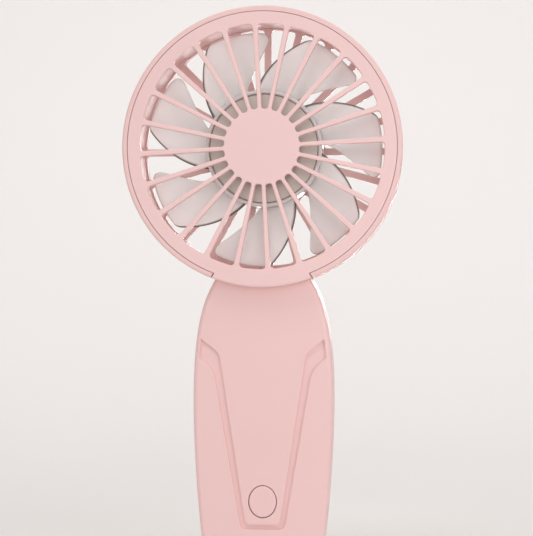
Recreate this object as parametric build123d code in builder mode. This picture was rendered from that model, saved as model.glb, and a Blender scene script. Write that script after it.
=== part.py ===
"""Handheld electric fan: a round caged head on a flat-based grip that holds the battery.

Millimetres. +Z is up and the fan blows towards -Y. The origin lies on the surface that the
flat base stands on, straight below the middle of the head.
"""

import os
from math import cos, pi, radians, sin, sqrt

from build123d import *

os.makedirs("parts", exist_ok=True)

# ---------------------------------------------------------------- clearances
FACE_GAP = 0.05  # between fixed pieces that seat on each other
SEAM_GAP = 0.15  # beside the front grille, where it drops into the rim
SLIT_GAP = 0.35  # at the two ends of the rim, beside the thumb tab
PARTING_GAP = 0.12  # between the two halves of the grip
BUTTON_GAP = 0.25  # round the power button
RUNNING_GAP = 0.03  # between the shaft and its bushes
AIR_GAP = 0.4  # between the stator and the magnets

# ---------------------------------------------------------------- head
HEAD_BOTTOM = 98.0  # height of the head's underside above the base
HEAD_R = 45.0
HEAD_Z = HEAD_BOTTOM + HEAD_R  # height of the fan's axis
HEAD_DEPTH = 28.0
RIM_WALL = 1.65  # the strip of housing that shows round the front grille
DUCT_WALL = 3.5
RIM_ROUND = 0.8
REAR_ROUND = 2.0

SPOKES = 24
FRONT_PLATE = 2.4
FRONT_TURN = 3.0  # the front spokes are turned this far from the rear ones
FRONT_DISC_R = 12.1
FRONT_SLOT_R = 39.2
FRONT_SPOKE_ROOT = 1.2
FRONT_SPOKE_TIP = 1.7
SLOT_ROUND_ROOT = 0.85
SLOT_ROUND_TIP = 1.1
SLOT_EDGE_ROUND = 0.35
TAB_HALF_ANGLE = 20.6  # of the thumb tab, at the seam
TAB_SPLAY = 14.5  # of the tab's ends from the radial direction

REAR_PLATE = 2.15
REAR_RECESS = 2.45
REAR_RIM_WALL = 1.8
REAR_DISC_R = 19.0
REAR_SLOT_R = 41.0
REAR_SHORT_SLOT_R = 38.0
REAR_SHORT_SLOTS = 4  # beside the neck
REAR_SPOKE = 2.3
CHANNEL_WALL = 0.6  # beside the motor leads, on the spoke that carries them
CHANNEL_HEIGHT = 1.6

HOOKS = 4  # snap hooks of each grille
HOOKS_FROM = 45.0  # the first hook's place round the rim, clear of the neck
HOOK_WIDTH = 6.0
HOOK_WALL = 0.9
HOOK_REACH = 3.6
HOOK_NIB = 0.5
HOOK_NIB_HEIGHT = 1.2

# ---------------------------------------------------------------- impeller and rotor
HUB_SETBACK = 8.0  # from the front of the head to the hub's lip
HUB_R = 19.0
HUB_DEPTH = 12.0
HUB_WALL = 1.2
BLADES = 7
BLADE_TIP_R = 38.4
BLADE_TRAIL_ANGLE = 97.8  # of the first blade's trailing edge where it leaves the hub
BLADE_LEAD_ANGLE = 59.2
TRAIL_SWEEP = 1.57  # degrees for each millimetre outwards
LEAD_SWEEP = 1.9
LEAD_EASE = 0.034  # how the leading edge's sweep dies away, degrees per square millimetre
BLADE_RISE_ROOT = 9.5  # how far a blade climbs along the axis
BLADE_RISE_TIP = 7.0
BLADE_THICKNESS = 1.2
BLADE_EDGE = 0.6
BLADE_CAMBER = 0.07  # of the chord
BLADE_SECTIONS = 5
BLADE_OVERRUN = 2.6  # of the blade's last section past its tip, before it is trimmed

CUP_SETBACK = 0.8  # of the rotor cup's face behind the hub's lip
CUP_FACE = 0.8
CUP_WALL = 0.8
CUP_SHORT = 0.5  # from the cup's open end to the hub's rear end
CUP_BOSS_R = 3.2
CUP_BOSS_LENGTH = 1.5
MAGNET_THICKNESS = 2.0
MAGNET_SETBACK = 1.0
MAGNET_SHORT = 0.4

# ---------------------------------------------------------------- motor
SHAFT_R = 1.0
BUSH_R = 3.0
BUSH_LENGTH = 4.0
BUSH_SETBACK = 2.0  # of the rear bush in front of the base's rear
TUBE_WALL = 1.2
TUBE_FRONT_GAP = 0.5  # between the cup's boss and the bearing tube
COLLAR_R = 5.6
COLLAR_LENGTH = 1.8
FLANGE_R = 9.5
FLANGE_THICKNESS = 2.6
CORE_THICKNESS = 6.0
CORE_FRONT_GAP = 2.4  # between the cup's face and the core
TEETH = 9
YOKE_R = 7.0
TOOTH_WIDTH = 2.4
SHOE_R = 12.8
SHOE_ANGLE = 31.0
COIL_WIDTH = 4.6
COIL_END = 1.1
COIL_FROM_R = 7.6
COIL_TO_R = 12.3
BOARD_R = 14.0
BOARD_THICKNESS = 1.15
DRIVER_CHIP = (4.0, 4.0, 1.0)  # width, height and thickness
DRIVER_CHIP_AT = (8.6, 4.0)  # from the fan's axis
SENSOR = (1.0, 1.8, 0.8)
SENSORS_AT = [(-8.0, 3.0), (-8.0, 6.0), (-10.5, 0.5)]
CLIP_R = 2.2
CLIP_THICKNESS = 0.26
CLIP_GROOVE = 0.25
CLIP_GAP = 0.22  # between the rear bush and the clip
SHAFT_END = 0.5  # how far the shaft runs on behind the clip
MOTOR_SCREWS = 3
MOTOR_SCREW_CIRCLE_R = 6.9
MOTOR_SCREW_SETBACK = 1.25  # of a head's seat in front of the rear grille's rear
MOTOR_SCREWS_FROM = 90.0

# ---------------------------------------------------------------- grip
GRIP_DEPTH = 22.5
GRIP_SETBACK = 4.5  # of the grip's front behind the front of the head
WALL = 2.0
PARTING_FROM_FRONT = 12.0
FRONT_EDGE_ROUND = 1.6
REAR_EDGE_ROUND = 6.0
BASE_CORNER_ROUND = 7.0
LIP_WALL = 0.95
LIP_LENGTH = 1.2
GRIP_SIDE = [  # height and half width, from the base up into the head
    (0.0, 17.6),
    (22.0, 20.4),
    (45.0, 22.1),
    (66.0, 22.5),
    (84.0, 21.1),
    (94.0, 18.6),
    (100.0, 15.8),
    (106.0, 11.9),
]

CLAMP_RIB = (10.0, 1.5)  # on the front shell, against the battery
CLAMP_RIBS_AT = [(9.0, 52.0), (9.0, 74.0)]
SIDE_RIB = (1.2, 36.0)  # of the battery's tray on the rear shell
SIDE_RIB_GAP = 0.4
END_RIB = (6.0, 1.5)
END_RIB_X = 12.0
END_RIB_GAP = 0.35

GROOVE_DEPTH = 0.9
GROOVE_TONGUE = [(26.0, 86.1), (14.0, 76.8), (5.5, 21.6)]  # edge of the raised tongue
GROOVE_TONGUE_ROUND = [4.6, 2.0]
GROOVE_FLANK = [(26.0, 86.1), (26.0, 79.2), (16.0, 71.95), (7.1, 20.05)]  # edge of the flanks
GROOVE_FLANK_ROUND = [9.5, 2.6]

BUTTON_Z = 29.0
BUTTON_HALF_WIDTH = 4.4
BUTTON_HALF_HEIGHT = 5.1
BUTTON_TRAVEL = 0.5
BUTTON_FLANGE = 1.0
BUTTON_FLANGE_THICKNESS = 0.8
BUTTON_CROWN_ROUND = 0.4

# ---------------------------------------------------------------- electronics
PCB_HALF_WIDTH = 8.8
PCB_BOTTOM = 3.0
PCB_TOP = 44.0
PCB_THICKNESS = 1.2
PCB_STANDOFF = 4.4  # of the board's front face behind the front shell's inner face
CONTROLLER = (5.0, 4.4, 1.4)  # width, height and thickness
CONTROLLER_AT = (0.0, 20.5)
INDUCTOR = (4.2, 4.2, 2.4)
INDUCTOR_AT = (-5.2, 33.0)
RESISTOR = (1.6, 0.9, 0.8)
RESISTORS_AT = [(-2.0, 15.0), (0.6, 15.0), (-6.4, 22.0), (-6.4, 24.5)]
SWITCH_SIZE = 6.0
SWITCH_HEIGHT = 2.5
STEM_R = 1.7
STEM_HEIGHT = 0.8
STEM_LENGTH = 1.6
STEM_GAP = 0.05
USB_WIDTH = 8.94
USB_HEIGHT = 3.2
USB_LENGTH = 7.3
USB_WALL = 0.3
USB_SETBACK = 0.4  # of the socket's mouth above the base
USB_SLOT_GAP = 0.25
USB_TONGUE = (6.7, 0.7, 4.4)
BATTERY = (34.0, 8.8, 50.0)
BATTERY_BOTTOM = 33.0
BATTERY_ROUND = 2.5
PAD_THICKNESS = 1.0
PAD = (24.0, 40.0)
PROTECTION_BOARD = (28.0, 5.8, 1.3)
LEAD_R = 0.45
LEAD_PITCH = 1.4
BATTERY_LEADS_X = 5.6
BATTERY_LEAD_DROP = 6.6  # from the protection board to the control board's joint
MOTOR_LEAD_DROPS = (8.5, 14.5, 23.5)  # of the route's bends below the axis
NECK_LEAD_DROPS = (-7.0, 3.0, 14.5)  # of its further bends below the head's underside
MOTOR_LEAD_STEP = 1.6  # forwards, where the leads leave the channel
MOTOR_LEAD_END_Z = 38.0  # the joint on the control board

# ---------------------------------------------------------------- screws
SCREW_R = 1.1
SCREW_HEAD_R = 2.0
SCREW_HEAD = 1.5
SCREW_HOLE_GAP = 0.12
HEAD_HOLE_GAP = 0.25
SCREW_SETBACK = 3.4  # of a head's seat in front of the grip's rear
SCREW_LENGTH = 14.6
BOSS_WALL = 1.4
NECK_SCREWS = (11.0, 90.0)
BASE_SCREWS = (12.6, 12.0)
PCB_SCREWS = [(6.9, 40.4), (6.9, 14.0)]
PCB_SCREW_R = 0.8
PCB_SCREW_HEAD_R = 1.5
PCB_SCREW_HEAD = 1.1
PCB_SCREW_LENGTH = 4.2
MOTOR_SCREW_R = 1.0
MOTOR_SCREW_HEAD_R = 1.8
MOTOR_SCREW_HEAD = 0.9
MOTOR_SCREW_LENGTH = 3.4

# ---------------------------------------------------------------- ears of the neck
EAR_FROM_X = 7.2
NECK_HALF_WIDTH = 15.4  # of the grip where the ears end
EAR_FRONT = -2.0
EAR_REAR = 6.0
EAR_BOTTOM = 85.5

# ---------------------------------------------------------------- places along the fan's axis
head_front = -HEAD_DEPTH / 2
head_rear = HEAD_DEPTH / 2
front_plate_rear = head_front + FRONT_PLATE
front_ledge = front_plate_rear + FACE_GAP
rear_ledge = head_rear - REAR_RECESS
rear_plate_front = rear_ledge + FACE_GAP
rear_plate_rear = rear_plate_front + REAR_PLATE
seam_r = HEAD_R - RIM_WALL
front_disc_outer_r = seam_r - SEAM_GAP
duct_r = HEAD_R - DUCT_WALL
rear_recess_r = HEAD_R - REAR_RIM_WALL
hook_r = sqrt(duct_r**2 - (HOOK_WIDTH / 2) ** 2) - FACE_GAP

hub_front = head_front + HUB_SETBACK
hub_rear = hub_front + HUB_DEPTH
hub_bore_r = HUB_R - HUB_WALL
cup_r = hub_bore_r - FACE_GAP
cup_front = hub_front + CUP_SETBACK
cup_inside = cup_front + CUP_FACE
cup_rear = hub_rear - CUP_SHORT
cup_bore_r = cup_r - CUP_WALL
boss_rear = cup_inside + CUP_BOSS_LENGTH
magnet_r = cup_bore_r - FACE_GAP
magnet_bore_r = magnet_r - MAGNET_THICKNESS
core_r = magnet_bore_r - AIR_GAP

tube_r = BUSH_R + TUBE_WALL
tube_front = boss_rear + TUBE_FRONT_GAP
flange_rear = rear_plate_front - FACE_GAP
flange_front = flange_rear - FLANGE_THICKNESS
collar_front = flange_front - COLLAR_LENGTH
board_rear = collar_front - FACE_GAP
board_front = board_rear - BOARD_THICKNESS
core_front = cup_inside + CORE_FRONT_GAP
core_rear = core_front + CORE_THICKNESS
rear_bush_rear = flange_rear - BUSH_SETBACK
clip_front = rear_bush_rear + CLIP_GAP
clip_rear = clip_front + CLIP_THICKNESS
shaft_rear = clip_rear + SHAFT_END

# ---------------------------------------------------------------- places in the grip
grip_front = head_front + GRIP_SETBACK
grip_rear = grip_front + GRIP_DEPTH
inner_front = grip_front + WALL
inner_rear = grip_rear - WALL
parting = grip_front + PARTING_FROM_FRONT
pcb_front = inner_front + PCB_STANDOFF
pcb_rear = pcb_front + PCB_THICKNESS
switch_front = pcb_front - SWITCH_HEIGHT
stem_front = switch_front - STEM_HEIGHT
flange_seat = inner_front + FACE_GAP * 2
usb_middle = pcb_rear + USB_HEIGHT / 2
battery_rear = inner_rear - PAD_THICKNESS - 2 * FACE_GAP
battery_front = battery_rear - BATTERY[1]
battery_middle = (battery_front + battery_rear) / 2
screw_seat = grip_rear - SCREW_SETBACK
motor_screw_seat = rear_plate_rear - MOTOR_SCREW_SETBACK


# ---------------------------------------------------------------- helpers
def head_plane(y):
    """The plane square to the fan's axis at depth y, centred on the axis and facing the user."""
    return Plane(origin=(0, y, HEAD_Z), x_dir=(1, 0, 0), z_dir=(0, -1, 0))


def front_plane(y):
    """The upright plane at depth y, facing the user, whose local Y is the height."""
    return Plane(origin=(0, y, 0), x_dir=(1, 0, 0), z_dir=(0, -1, 0))


def mirrored(points):
    """Points with positive X, followed by their mirror images in reverse order."""
    return points + [(-x, z) for x, z in reversed(points)]


def both_sides(x, z):
    """A left and right pair of places."""
    return [(-x, z), (x, z)]


def finish(builder, name):
    """Name a piece and write it."""
    builder.part.label = name
    export_step(builder.part, f"parts/{name}.step")


def slot_profile(inner_r, outer_r, root_spoke, tip_spoke):
    """One opening between two radial spokes, with its middle along the local X axis."""
    pitch = radians(180 / SPOKES)

    def corner(r, spoke):
        return (r * cos(pitch) + spoke / 2 * sin(pitch), r * sin(pitch) - spoke / 2 * cos(pitch))

    root_x, root_y = corner(inner_r, root_spoke)
    tip_x, tip_y = corner(outer_r, tip_spoke)
    with BuildSketch() as profile:
        with BuildLine():
            Line((root_x, -root_y), (tip_x, -tip_y))
            ThreePointArc((tip_x, -tip_y), (outer_r, 0), (tip_x, tip_y))
            Line((tip_x, tip_y), (root_x, root_y))
            Line((root_x, root_y), (root_x, -root_y))
        make_face()
        fillet(profile.vertices().group_by(Axis.X)[0], radius=min(SLOT_ROUND_ROOT, 0.9 * root_y))
        fillet(profile.vertices().group_by(Axis.X)[-1], radius=SLOT_ROUND_TIP)
    return profile.sketch


def tab_wedge(gap):
    """The wedge below the axis that the thumb tab fills, widened at each side by a gap."""
    seam_x = seam_r * sin(radians(TAB_HALF_ANGLE))
    seam_z = seam_r * cos(radians(TAB_HALF_ANGLE))
    lean = radians(TAB_HALF_ANGLE + TAB_SPLAY)
    inwards = DUCT_WALL
    outwards = 2 * RIM_WALL
    near = (seam_x - inwards * sin(lean) + gap, -seam_z + inwards * cos(lean))
    far = (seam_x + outwards * sin(lean) + gap, -seam_z - outwards * cos(lean))
    with BuildSketch() as wedge:
        with BuildLine():
            Polyline(*mirrored([near, far, (far[0], -HEAD_R - RIM_WALL)]), close=True)
        make_face()
    return wedge.sketch


def hook_places():
    """The snap hooks' places round a grille."""
    return PolarLocations(0, HOOKS, start_angle=HOOKS_FROM)


def motor_screw_places():
    """The motor screws' places round the fan's axis."""
    return PolarLocations(MOTOR_SCREW_CIRCLE_R, MOTOR_SCREWS, start_angle=MOTOR_SCREWS_FROM)


def blade_angles(r):
    """The leading and trailing edges' angles on a blade at radius r."""
    out = r - HUB_R
    lead = BLADE_LEAD_ANGLE - LEAD_SWEEP * out + LEAD_EASE * out**2
    trail = BLADE_TRAIL_ANGLE - TRAIL_SWEEP * out
    return lead, trail


def blade_section(r):
    """A blade's cambered section, whose two ends lie at radius r from the axis."""
    lead, trail = blade_angles(r)
    middle = radians((lead + trail) / 2)
    half = radians((trail - lead) / 2)
    reach = r * cos(half)
    plane = Plane(
        origin=(reach * cos(middle), (hub_front + hub_rear) / 2, HEAD_Z + reach * sin(middle)),
        x_dir=(-sin(middle), 0, cos(middle)),
        z_dir=(cos(middle), 0, sin(middle)),
    )
    along = (r - HUB_R) / (BLADE_TIP_R - HUB_R)
    rise = BLADE_RISE_ROOT + (BLADE_RISE_TIP - BLADE_RISE_ROOT) * along
    chord_x, chord_y = r * sin(half), rise / 2
    bow = BLADE_CAMBER * 2 * chord_x
    edge = BLADE_EDGE / 2
    thick = BLADE_THICKNESS / 2
    with BuildSketch(plane) as section:
        with BuildLine():
            ThreePointArc((-chord_x, edge - chord_y), (-bow, thick + bow), (chord_x, chord_y + edge))
            Line((chord_x, chord_y + edge), (chord_x, chord_y - edge))
            ThreePointArc((chord_x, chord_y - edge), (-bow, bow - thick), (-chord_x, -edge - chord_y))
            Line((-chord_x, -edge - chord_y), (-chord_x, edge - chord_y))
        make_face()
    return section


def grip_outline(inset):
    """The grip's outline seen from the front, moved inwards by inset."""
    side = [(half - inset, max(z, inset)) for z, half in GRIP_SIDE]
    with BuildSketch() as outline:
        with BuildLine():
            Spline(*side)
            Line(side[-1], (-side[-1][0], side[-1][1]))
            Spline(*[(-x, z) for x, z in side])
            Line((-side[0][0], side[0][1]), side[0])
        make_face()
        fillet(outline.vertices().group_by(Axis.Y)[0], radius=BASE_CORNER_ROUND - inset)
    return outline.sketch


def grip_solid(inset, front_round, rear_round):
    """The grip as a solid block, every face moved inwards by inset."""
    with BuildPart() as block:
        with BuildSketch(front_plane(grip_rear - inset)):
            add(grip_outline(inset))
        extrude(amount=GRIP_DEPTH - 2 * inset)
        round_face(block, 0, front_round)
        round_face(block, -1, rear_round)
    return block.part


def round_face(block, which, radius):
    """Round the edges of the front (0) or rear (-1) face, except where the head cuts it off."""
    face = block.faces().filter_by(Axis.Y).sort_by(Axis.Y)[which]
    fillet(face.edges().sort_by(Axis.Z)[:-1], radius=radius)


def lead(points, name):
    """An insulated wire along straight runs joined by the largest arcs that they allow."""
    path_points = [Vector(*point) for point in points]
    runs = [b - a for a, b in zip(path_points, path_points[1:])]
    radii = []
    for first, second in zip(runs, runs[1:]):
        half_turn = radians(first.get_angle(second) / 2)
        radii.append(0.45 * min(first.length, second.length) * cos(half_turn) / sin(half_turn))
    print(name, "bend radii", [round(radius, 1) for radius in radii])
    with BuildPart() as wire:
        with BuildLine() as route:
            FilletPolyline(*path_points, radius=radii)
        path = route.wire()
        with BuildSketch(Plane(origin=path @ 0, z_dir=path % 0)) as section:
            Circle(LEAD_R)
        sweep(section.sketch, path=path)
    finish(wire, name)
    expected = pi * LEAD_R**2 * path.length
    print(name, "volume", round(wire.part.volume, 2), "of", round(expected, 2))


def disc(front, rear, outer_r, inner_r=0):
    """Add a disc or ring about the fan's axis between two depths to the current piece."""
    with BuildSketch(head_plane(rear)) as ring:
        Circle(outer_r)
        if inner_r:
            Circle(inner_r, mode=Mode.SUBTRACT)
    extrude(ring.sketch, amount=rear - front)


def bore(front, rear, radius):
    """Cut a round hole about the fan's axis between two depths from the current piece."""
    with BuildSketch(head_plane(rear)) as hole:
        Circle(radius)
    extrude(hole.sketch, amount=rear - front, mode=Mode.SUBTRACT)


def block(plane, width, height, depth, places, mode=Mode.ADD):
    """Add or cut upright blocks that start on a plane and run along its normal."""
    with BuildSketch(plane) as profile:
        with Locations(*places):
            Rectangle(width, height)
    extrude(profile.sketch, amount=depth, mode=mode)


def pegs(plane, radius, depth, places, mode=Mode.ADD):
    """Add or cut round pegs that start on a plane and run along its normal."""
    with BuildSketch(plane) as profile:
        with Locations(*places):
            Circle(radius)
    extrude(profile.sketch, amount=depth, mode=mode)


# ---------------------------------------------------------------- front grille
with BuildPart() as front_grille:
    with BuildSketch(head_plane(front_plate_rear)) as plate:
        Circle(HEAD_R)
        add(tab_wedge(0), mode=Mode.INTERSECT)
        Circle(front_disc_outer_r)
        with PolarLocations(0, SPOKES, start_angle=FRONT_TURN + 180 / SPOKES):
            add(
                slot_profile(FRONT_DISC_R, FRONT_SLOT_R, FRONT_SPOKE_ROOT, FRONT_SPOKE_TIP),
                mode=Mode.SUBTRACT,
            )
    extrude(amount=FRONT_PLATE)
    front_face = front_grille.faces().sort_by(Axis.Y)[0]
    slot_edges = [edge for wire in front_face.inner_wires() for edge in wire.edges()]
    fillet(slot_edges, radius=SLOT_EDGE_ROUND)
    tab_edge = front_grille.faces().sort_by(Axis.Y)[0].edges().filter_by(
        lambda edge: edge.center().Z < HEAD_Z - seam_r and edge.geom_type == GeomType.CIRCLE
    )
    fillet(tab_edge, radius=RIM_ROUND)
    with BuildSketch(head_plane(front_plate_rear + HOOK_REACH)):
        with hook_places():
            with Locations((hook_r - HOOK_WALL / 2, 0)):
                Rectangle(HOOK_WALL, HOOK_WIDTH)
    extrude(amount=HOOK_REACH + FACE_GAP)
    with BuildSketch(head_plane(front_plate_rear + HOOK_REACH)):
        with hook_places():
            with Locations((hook_r + HOOK_NIB / 2 - HOOK_WALL / 2, 0)):
                Rectangle(HOOK_NIB + HOOK_WALL, HOOK_WIDTH)
    extrude(amount=HOOK_NIB_HEIGHT)
finish(front_grille, "front_grille")

# ---------------------------------------------------------------- head housing
with BuildPart() as head_housing:
    disc(head_front, head_rear, HEAD_R)
    front_rim = head_housing.edges().filter_by(GeomType.CIRCLE).sort_by(Axis.Y)[0]
    fillet(front_rim, radius=RIM_ROUND)
    rear_rim = head_housing.edges().filter_by(GeomType.CIRCLE).sort_by(Axis.Y)[-1]
    fillet(rear_rim, radius=min(REAR_ROUND, REAR_RIM_WALL - 2 * FACE_GAP))
    bore(head_front, front_ledge, seam_r)
    bore(front_ledge, rear_ledge, duct_r)
    bore(rear_ledge, head_rear, rear_recess_r)
    with BuildSketch(head_plane(front_ledge)):
        Circle(HEAD_R + SLIT_GAP)
        add(tab_wedge(SLIT_GAP), mode=Mode.INTERSECT)
    extrude(amount=front_ledge - head_front, mode=Mode.SUBTRACT)
    for nib_rear in (front_plate_rear + HOOK_REACH, rear_plate_front - HOOK_REACH + HOOK_NIB_HEIGHT):
        with BuildSketch(head_plane(nib_rear + FACE_GAP)):
            with hook_places():
                with Locations((duct_r, 0)):
                    Rectangle(2 * HOOK_NIB + 2 * SEAM_GAP, HOOK_WIDTH + 2 * SEAM_GAP)
        extrude(amount=HOOK_NIB_HEIGHT + 2 * FACE_GAP, mode=Mode.SUBTRACT)
    ear_to_x = NECK_HALF_WIDTH - WALL
    ear_middle = (EAR_FROM_X + ear_to_x) / 2
    ear_top = HEAD_Z - duct_r - RIM_WALL
    block(
        front_plane(EAR_REAR),
        ear_to_x - EAR_FROM_X,
        ear_top - EAR_BOTTOM,
        EAR_REAR - EAR_FRONT,
        both_sides(ear_middle, (ear_top + EAR_BOTTOM) / 2),
    )
    pegs(
        front_plane(EAR_REAR),
        SCREW_R + SCREW_HOLE_GAP,
        EAR_REAR - EAR_FRONT,
        both_sides(*NECK_SCREWS),
        mode=Mode.SUBTRACT,
    )
    block(
        front_plane(rear_ledge),
        4 * LEAD_PITCH,
        2 * DUCT_WALL,
        4 * LEAD_PITCH / 2,
        [(0, HEAD_Z - HEAD_R + RIM_WALL)],
        mode=Mode.SUBTRACT,
    )
finish(head_housing, "head_housing")

# ---------------------------------------------------------------- rear grille
with BuildPart() as rear_grille:
    with BuildSketch(head_plane(rear_plate_rear)):
        Circle(rear_recess_r - SEAM_GAP)
        short_from = SPOKES - REAR_SHORT_SLOTS
        for step in range(SPOKES):
            slot_r = REAR_SHORT_SLOT_R if step >= short_from else REAR_SLOT_R
            first_slot = 270 + (REAR_SHORT_SLOTS + 1) * 180 / SPOKES
            with PolarLocations(0, 1, start_angle=first_slot + step * 360 / SPOKES):
                add(slot_profile(REAR_DISC_R, slot_r, REAR_SPOKE, REAR_SPOKE), mode=Mode.SUBTRACT)
    extrude(amount=REAR_PLATE)
    rear_face = rear_grille.faces().sort_by(Axis.Y)[-1]
    fillet([edge for wire in rear_face.inner_wires() for edge in wire.edges()], SLOT_EDGE_ROUND)
    with BuildSketch(head_plane(rear_plate_front)):
        with hook_places():
            with Locations((hook_r - HOOK_WALL / 2, 0)):
                Rectangle(HOOK_WALL, HOOK_WIDTH)
    extrude(amount=HOOK_REACH)
    with BuildSketch(head_plane(rear_plate_front - HOOK_REACH + HOOK_NIB_HEIGHT)):
        with hook_places():
            with Locations((hook_r + HOOK_NIB / 2 - HOOK_WALL / 2, 0)):
                Rectangle(HOOK_NIB + HOOK_WALL, HOOK_WIDTH)
    extrude(amount=HOOK_NIB_HEIGHT)
    channel_x = LEAD_PITCH / 2 + LEAD_R + FACE_GAP + CHANNEL_WALL / 2
    channel_from = HEAD_Z - REAR_DISC_R
    channel_to = HEAD_Z - REAR_SLOT_R
    block(
        front_plane(rear_plate_rear),
        2 * channel_x + CHANNEL_WALL,
        channel_from - channel_to + 2 * CHANNEL_WALL,
        REAR_PLATE,
        [(0, (channel_from + channel_to) / 2)],
    )
    block(
        front_plane(rear_plate_front),
        CHANNEL_WALL,
        channel_from - channel_to,
        CHANNEL_HEIGHT,
        both_sides(channel_x, (channel_from + channel_to) / 2),
    )
    with BuildSketch(head_plane(rear_plate_rear)):
        with motor_screw_places():
            Circle(MOTOR_SCREW_R + SCREW_HOLE_GAP)
    extrude(amount=REAR_PLATE, mode=Mode.SUBTRACT)
    with BuildSketch(head_plane(rear_plate_rear)):
        with motor_screw_places():
            Circle(MOTOR_SCREW_HEAD_R + HEAD_HOLE_GAP)
    extrude(amount=rear_plate_rear - motor_screw_seat, mode=Mode.SUBTRACT)
finish(rear_grille, "rear_grille")

# ---------------------------------------------------------------- impeller
section_step = (BLADE_TIP_R + BLADE_OVERRUN - HUB_R + HUB_WALL / 2) / (BLADE_SECTIONS - 1)
with BuildPart() as blade:
    loft([blade_section(HUB_R - HUB_WALL / 2 + i * section_step).sketch for i in range(BLADE_SECTIONS)])
    bore(head_front, head_rear, HUB_R - HUB_WALL / 2)
    with BuildSketch(head_plane(head_rear)):
        Circle(BLADE_TIP_R)
    extrude(amount=HEAD_DEPTH, mode=Mode.INTERSECT)

with BuildPart() as impeller:
    disc(hub_front, hub_rear, HUB_R, hub_bore_r)
    lip = impeller.edges().filter_by(GeomType.CIRCLE).group_by(Axis.Y)[0]
    fillet(lip, radius=HUB_WALL / 4)
    for step in range(BLADES):
        add(blade.part.rotate(Axis((0, 0, HEAD_Z), (0, 1, 0)), step * 360 / BLADES))
finish(impeller, "impeller")

# ---------------------------------------------------------------- rotor
with BuildPart() as rotor_cup:
    disc(cup_front, cup_rear, cup_r)
    bore(cup_inside, cup_rear, cup_bore_r)
    disc(cup_inside, boss_rear, CUP_BOSS_R)
    bore(cup_front, boss_rear, SHAFT_R)
    cup_shoulder = rotor_cup.edges().filter_by(GeomType.CIRCLE).group_by(Axis.Y)[0].sort_by(
        SortBy.RADIUS
    )[-1]
    fillet(cup_shoulder, radius=CUP_FACE / 2)
finish(rotor_cup, "rotor_cup")

with BuildPart() as magnet_ring:
    disc(cup_inside + MAGNET_SETBACK, cup_rear - MAGNET_SHORT, magnet_r, magnet_bore_r)
finish(magnet_ring, "magnet_ring")

with BuildPart() as motor_shaft:
    disc(cup_front, shaft_rear, SHAFT_R)
    with BuildSketch(head_plane(clip_rear)):
        Circle(SHAFT_R)
        Circle(SHAFT_R - CLIP_GROOVE, mode=Mode.SUBTRACT)
    extrude(amount=clip_rear - clip_front, mode=Mode.SUBTRACT)
finish(motor_shaft, "motor_shaft")

with BuildPart() as shaft_clip:
    with BuildSketch(head_plane(clip_rear - FACE_GAP / 2)):
        Circle(CLIP_R)
        Circle(SHAFT_R - CLIP_GROOVE + FACE_GAP / 5, mode=Mode.SUBTRACT)
        with Locations((0, -CLIP_R)):
            Rectangle(SHAFT_R, 2 * CLIP_R, mode=Mode.SUBTRACT)
    extrude(amount=CLIP_THICKNESS - FACE_GAP)
finish(shaft_clip, "shaft_clip")

# ---------------------------------------------------------------- motor
with BuildPart() as motor_base:
    disc(tube_front, flange_rear, tube_r)
    disc(collar_front, flange_front, COLLAR_R)
    disc(flange_front, flange_rear, FLANGE_R)
    bore(tube_front, flange_rear, BUSH_R)
    with BuildSketch(head_plane(flange_rear)):
        with motor_screw_places():
            Circle(MOTOR_SCREW_R + FACE_GAP)
    extrude(amount=FLANGE_THICKNESS, mode=Mode.SUBTRACT)
finish(motor_base, "motor_base")

for name, front in (("front_bush", tube_front), ("rear_bush", rear_bush_rear - BUSH_LENGTH)):
    with BuildPart() as bush:
        disc(front, front + BUSH_LENGTH, BUSH_R, SHAFT_R + RUNNING_GAP)
    finish(bush, name)

with BuildPart() as stator_core:
    with BuildSketch(head_plane(core_rear)):
        Circle(YOKE_R)
        with PolarLocations(0, TEETH, start_angle=90):
            with Locations(((YOKE_R + SHOE_R) / 2, 0)):
                Rectangle(SHOE_R - YOKE_R + TOOTH_WIDTH / 2, TOOTH_WIDTH)
        with BuildSketch(mode=Mode.PRIVATE) as shoe:
            with BuildLine():
                Line((0, 0), (core_r + AIR_GAP, 0))
                CenterArc((0, 0), core_r + AIR_GAP, 0, SHOE_ANGLE)
                Line(PolarLine((0, 0), core_r + AIR_GAP, SHOE_ANGLE, mode=Mode.PRIVATE) @ 1, (0, 0))
            make_face()
            Circle(SHOE_R, mode=Mode.SUBTRACT)
            Circle(core_r, mode=Mode.INTERSECT)
        with PolarLocations(0, TEETH, start_angle=90 - SHOE_ANGLE / 2):
            add(shoe.sketch)
        Circle(tube_r + FACE_GAP, mode=Mode.SUBTRACT)
    extrude(amount=CORE_THICKNESS)
finish(stator_core, "stator_core")

with BuildPart() as stator_coils:
    with BuildSketch(head_plane(core_rear + COIL_END)):
        with PolarLocations(0, TEETH, start_angle=90):
            with Locations(((COIL_FROM_R + COIL_TO_R) / 2, 0)):
                Rectangle(COIL_TO_R - COIL_FROM_R, COIL_WIDTH)
    extrude(amount=CORE_THICKNESS + 2 * COIL_END)
    fillet(stator_coils.edges().filter_by(Axis.Y), radius=COIL_END / 2)
    with BuildSketch(head_plane(core_rear + FACE_GAP)):
        with PolarLocations(0, TEETH, start_angle=90):
            with Locations(((YOKE_R + SHOE_R) / 2, 0)):
                Rectangle(SHOE_R, TOOTH_WIDTH + 2 * FACE_GAP)
    extrude(amount=CORE_THICKNESS + 2 * FACE_GAP, mode=Mode.SUBTRACT)
finish(stator_coils, "stator_coils")

with BuildPart() as motor_board:
    disc(board_front, board_rear, BOARD_R, tube_r + FACE_GAP)
finish(motor_board, "motor_board")

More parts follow.
